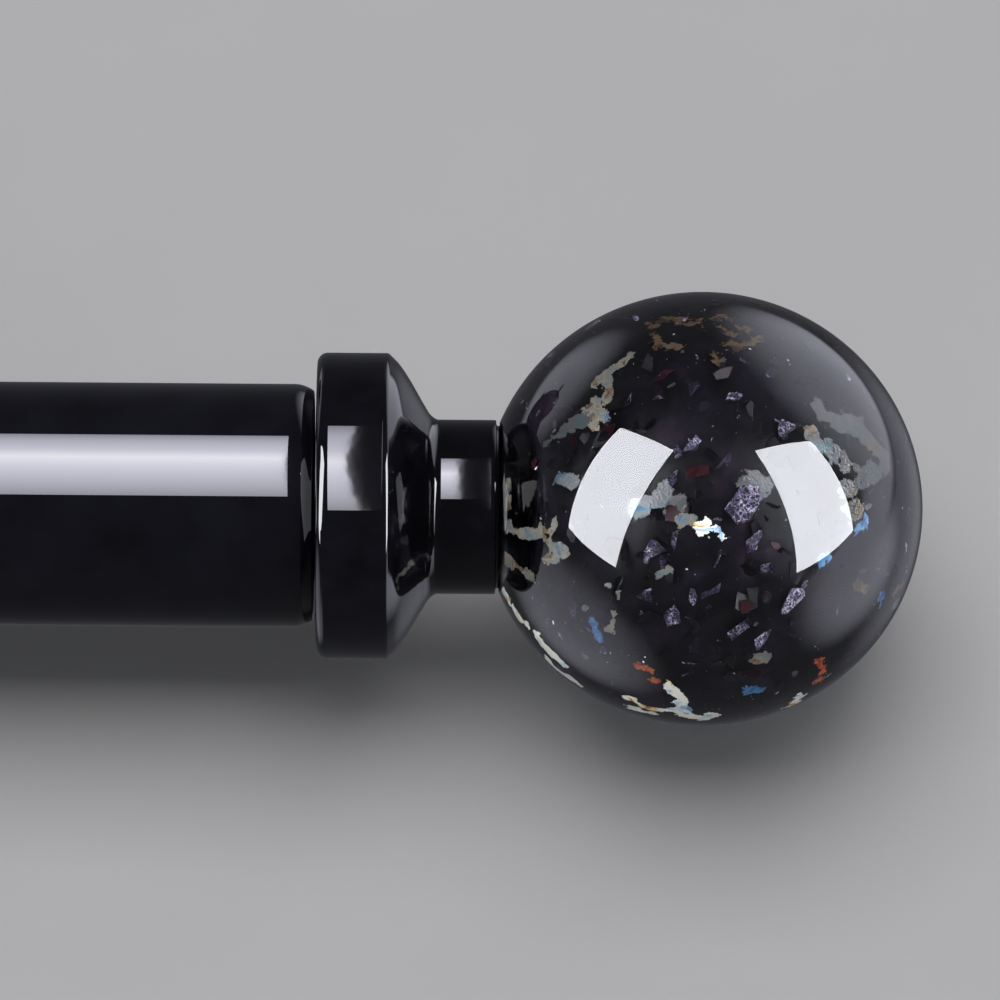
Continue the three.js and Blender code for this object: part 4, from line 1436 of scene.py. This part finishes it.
softbox("leafKicker", kickerCentre, *kickerSides, 70.0, "#fff8ec", leaves)

# The tent round the table is dark behind the camera and glows low down at the back and the sides.
# Each glow is (azimuth, elevation, inner and outer half angle in degrees, strength, edge, side): the
# glow is cut off at the height of its edge and kept above it (side 1) or below it (side -1).
tent = {
    "base": (0.1, 0.06),
    "edgeBlur": 0.03,
    "glows": [
        (44, 2, 14, 46, 1.9, -0.33, 1),
        (132, -4, 6, 26, 1.05, -0.33, 1),
        (-14, -16, 6, 36, 1.8, 0.02, -1),
        (208, -36, 8, 38, 1.1, 0.04, -1),
        (29, -33, 8, 36, 0.5, -0.36, -1),
    ],
    "backdrop": "#b9babc",
    "backdropStrength": 0.7,
}


def buildTent():
    world = bpy.data.worlds.new("tent")
    world.use_nodes = True
    scene.world = world
    tree = world.node_tree
    tree.nodes.clear()
    towards = addNode(tree, "ShaderNodeTexCoord").outputs["Generated"]
    height = addNode(tree, "ShaderNodeSeparateXYZ", inputs={"Vector": towards}).outputs["Z"]
    low, high = tent["base"]
    entries = {"Value": height, "From Min": -0.3, "From Max": 0.3, "To Min": low, "To Max": high}
    total = addNode(tree, "ShaderNodeMapRange", inputs=entries)
    for azimuth, elevation, inner, outer, strength, edge, side in tent["glows"]:
        turn, rise = math.radians(azimuth), math.radians(elevation)
        axis = (math.cos(rise) * math.cos(turn), math.cos(rise) * math.sin(turn), math.sin(rise))
        facing = addNode(tree, "ShaderNodeVectorMath", {"operation": "DOT_PRODUCT"}, {0: towards, 1: axis})
        spread = {
            "Value": facing,
            "From Min": math.cos(math.radians(outer)),
            "From Max": math.cos(math.radians(inner)),
            "To Max": strength,
        }
        glow = addNode(tree, "ShaderNodeMapRange", {"interpolation_type": "SMOOTHSTEP"}, spread)
        blur = side * tent["edgeBlur"]
        cutOff = {"Value": height, "From Min": edge - blur, "From Max": edge + blur}
        kept = addNode(tree, "ShaderNodeMapRange", inputs=cutOff)
        total = addNode(tree, "ShaderNodeMath", {"operation": "MULTIPLY_ADD"}, {0: glow, 1: kept, 2: total})
    glowing = addNode(tree, "ShaderNodeBackground", inputs={"Color": colour("#eef0ff"), "Strength": total})
    wall = {"Color": colour(tent["backdrop"]), "Strength": tent["backdropStrength"]}
    plain = addNode(tree, "ShaderNodeBackground", inputs=wall)
    mirrored = addNode(tree, "ShaderNodeLightPath").outputs["Is Glossy Ray"]
    both = addNode(tree, "ShaderNodeMixShader", inputs={0: mirrored, 1: plain, 2: glowing})
    addNode(tree, "ShaderNodeOutputWorld", inputs={"Surface": both})


buildTent()
print("camera, floor and lights placed")
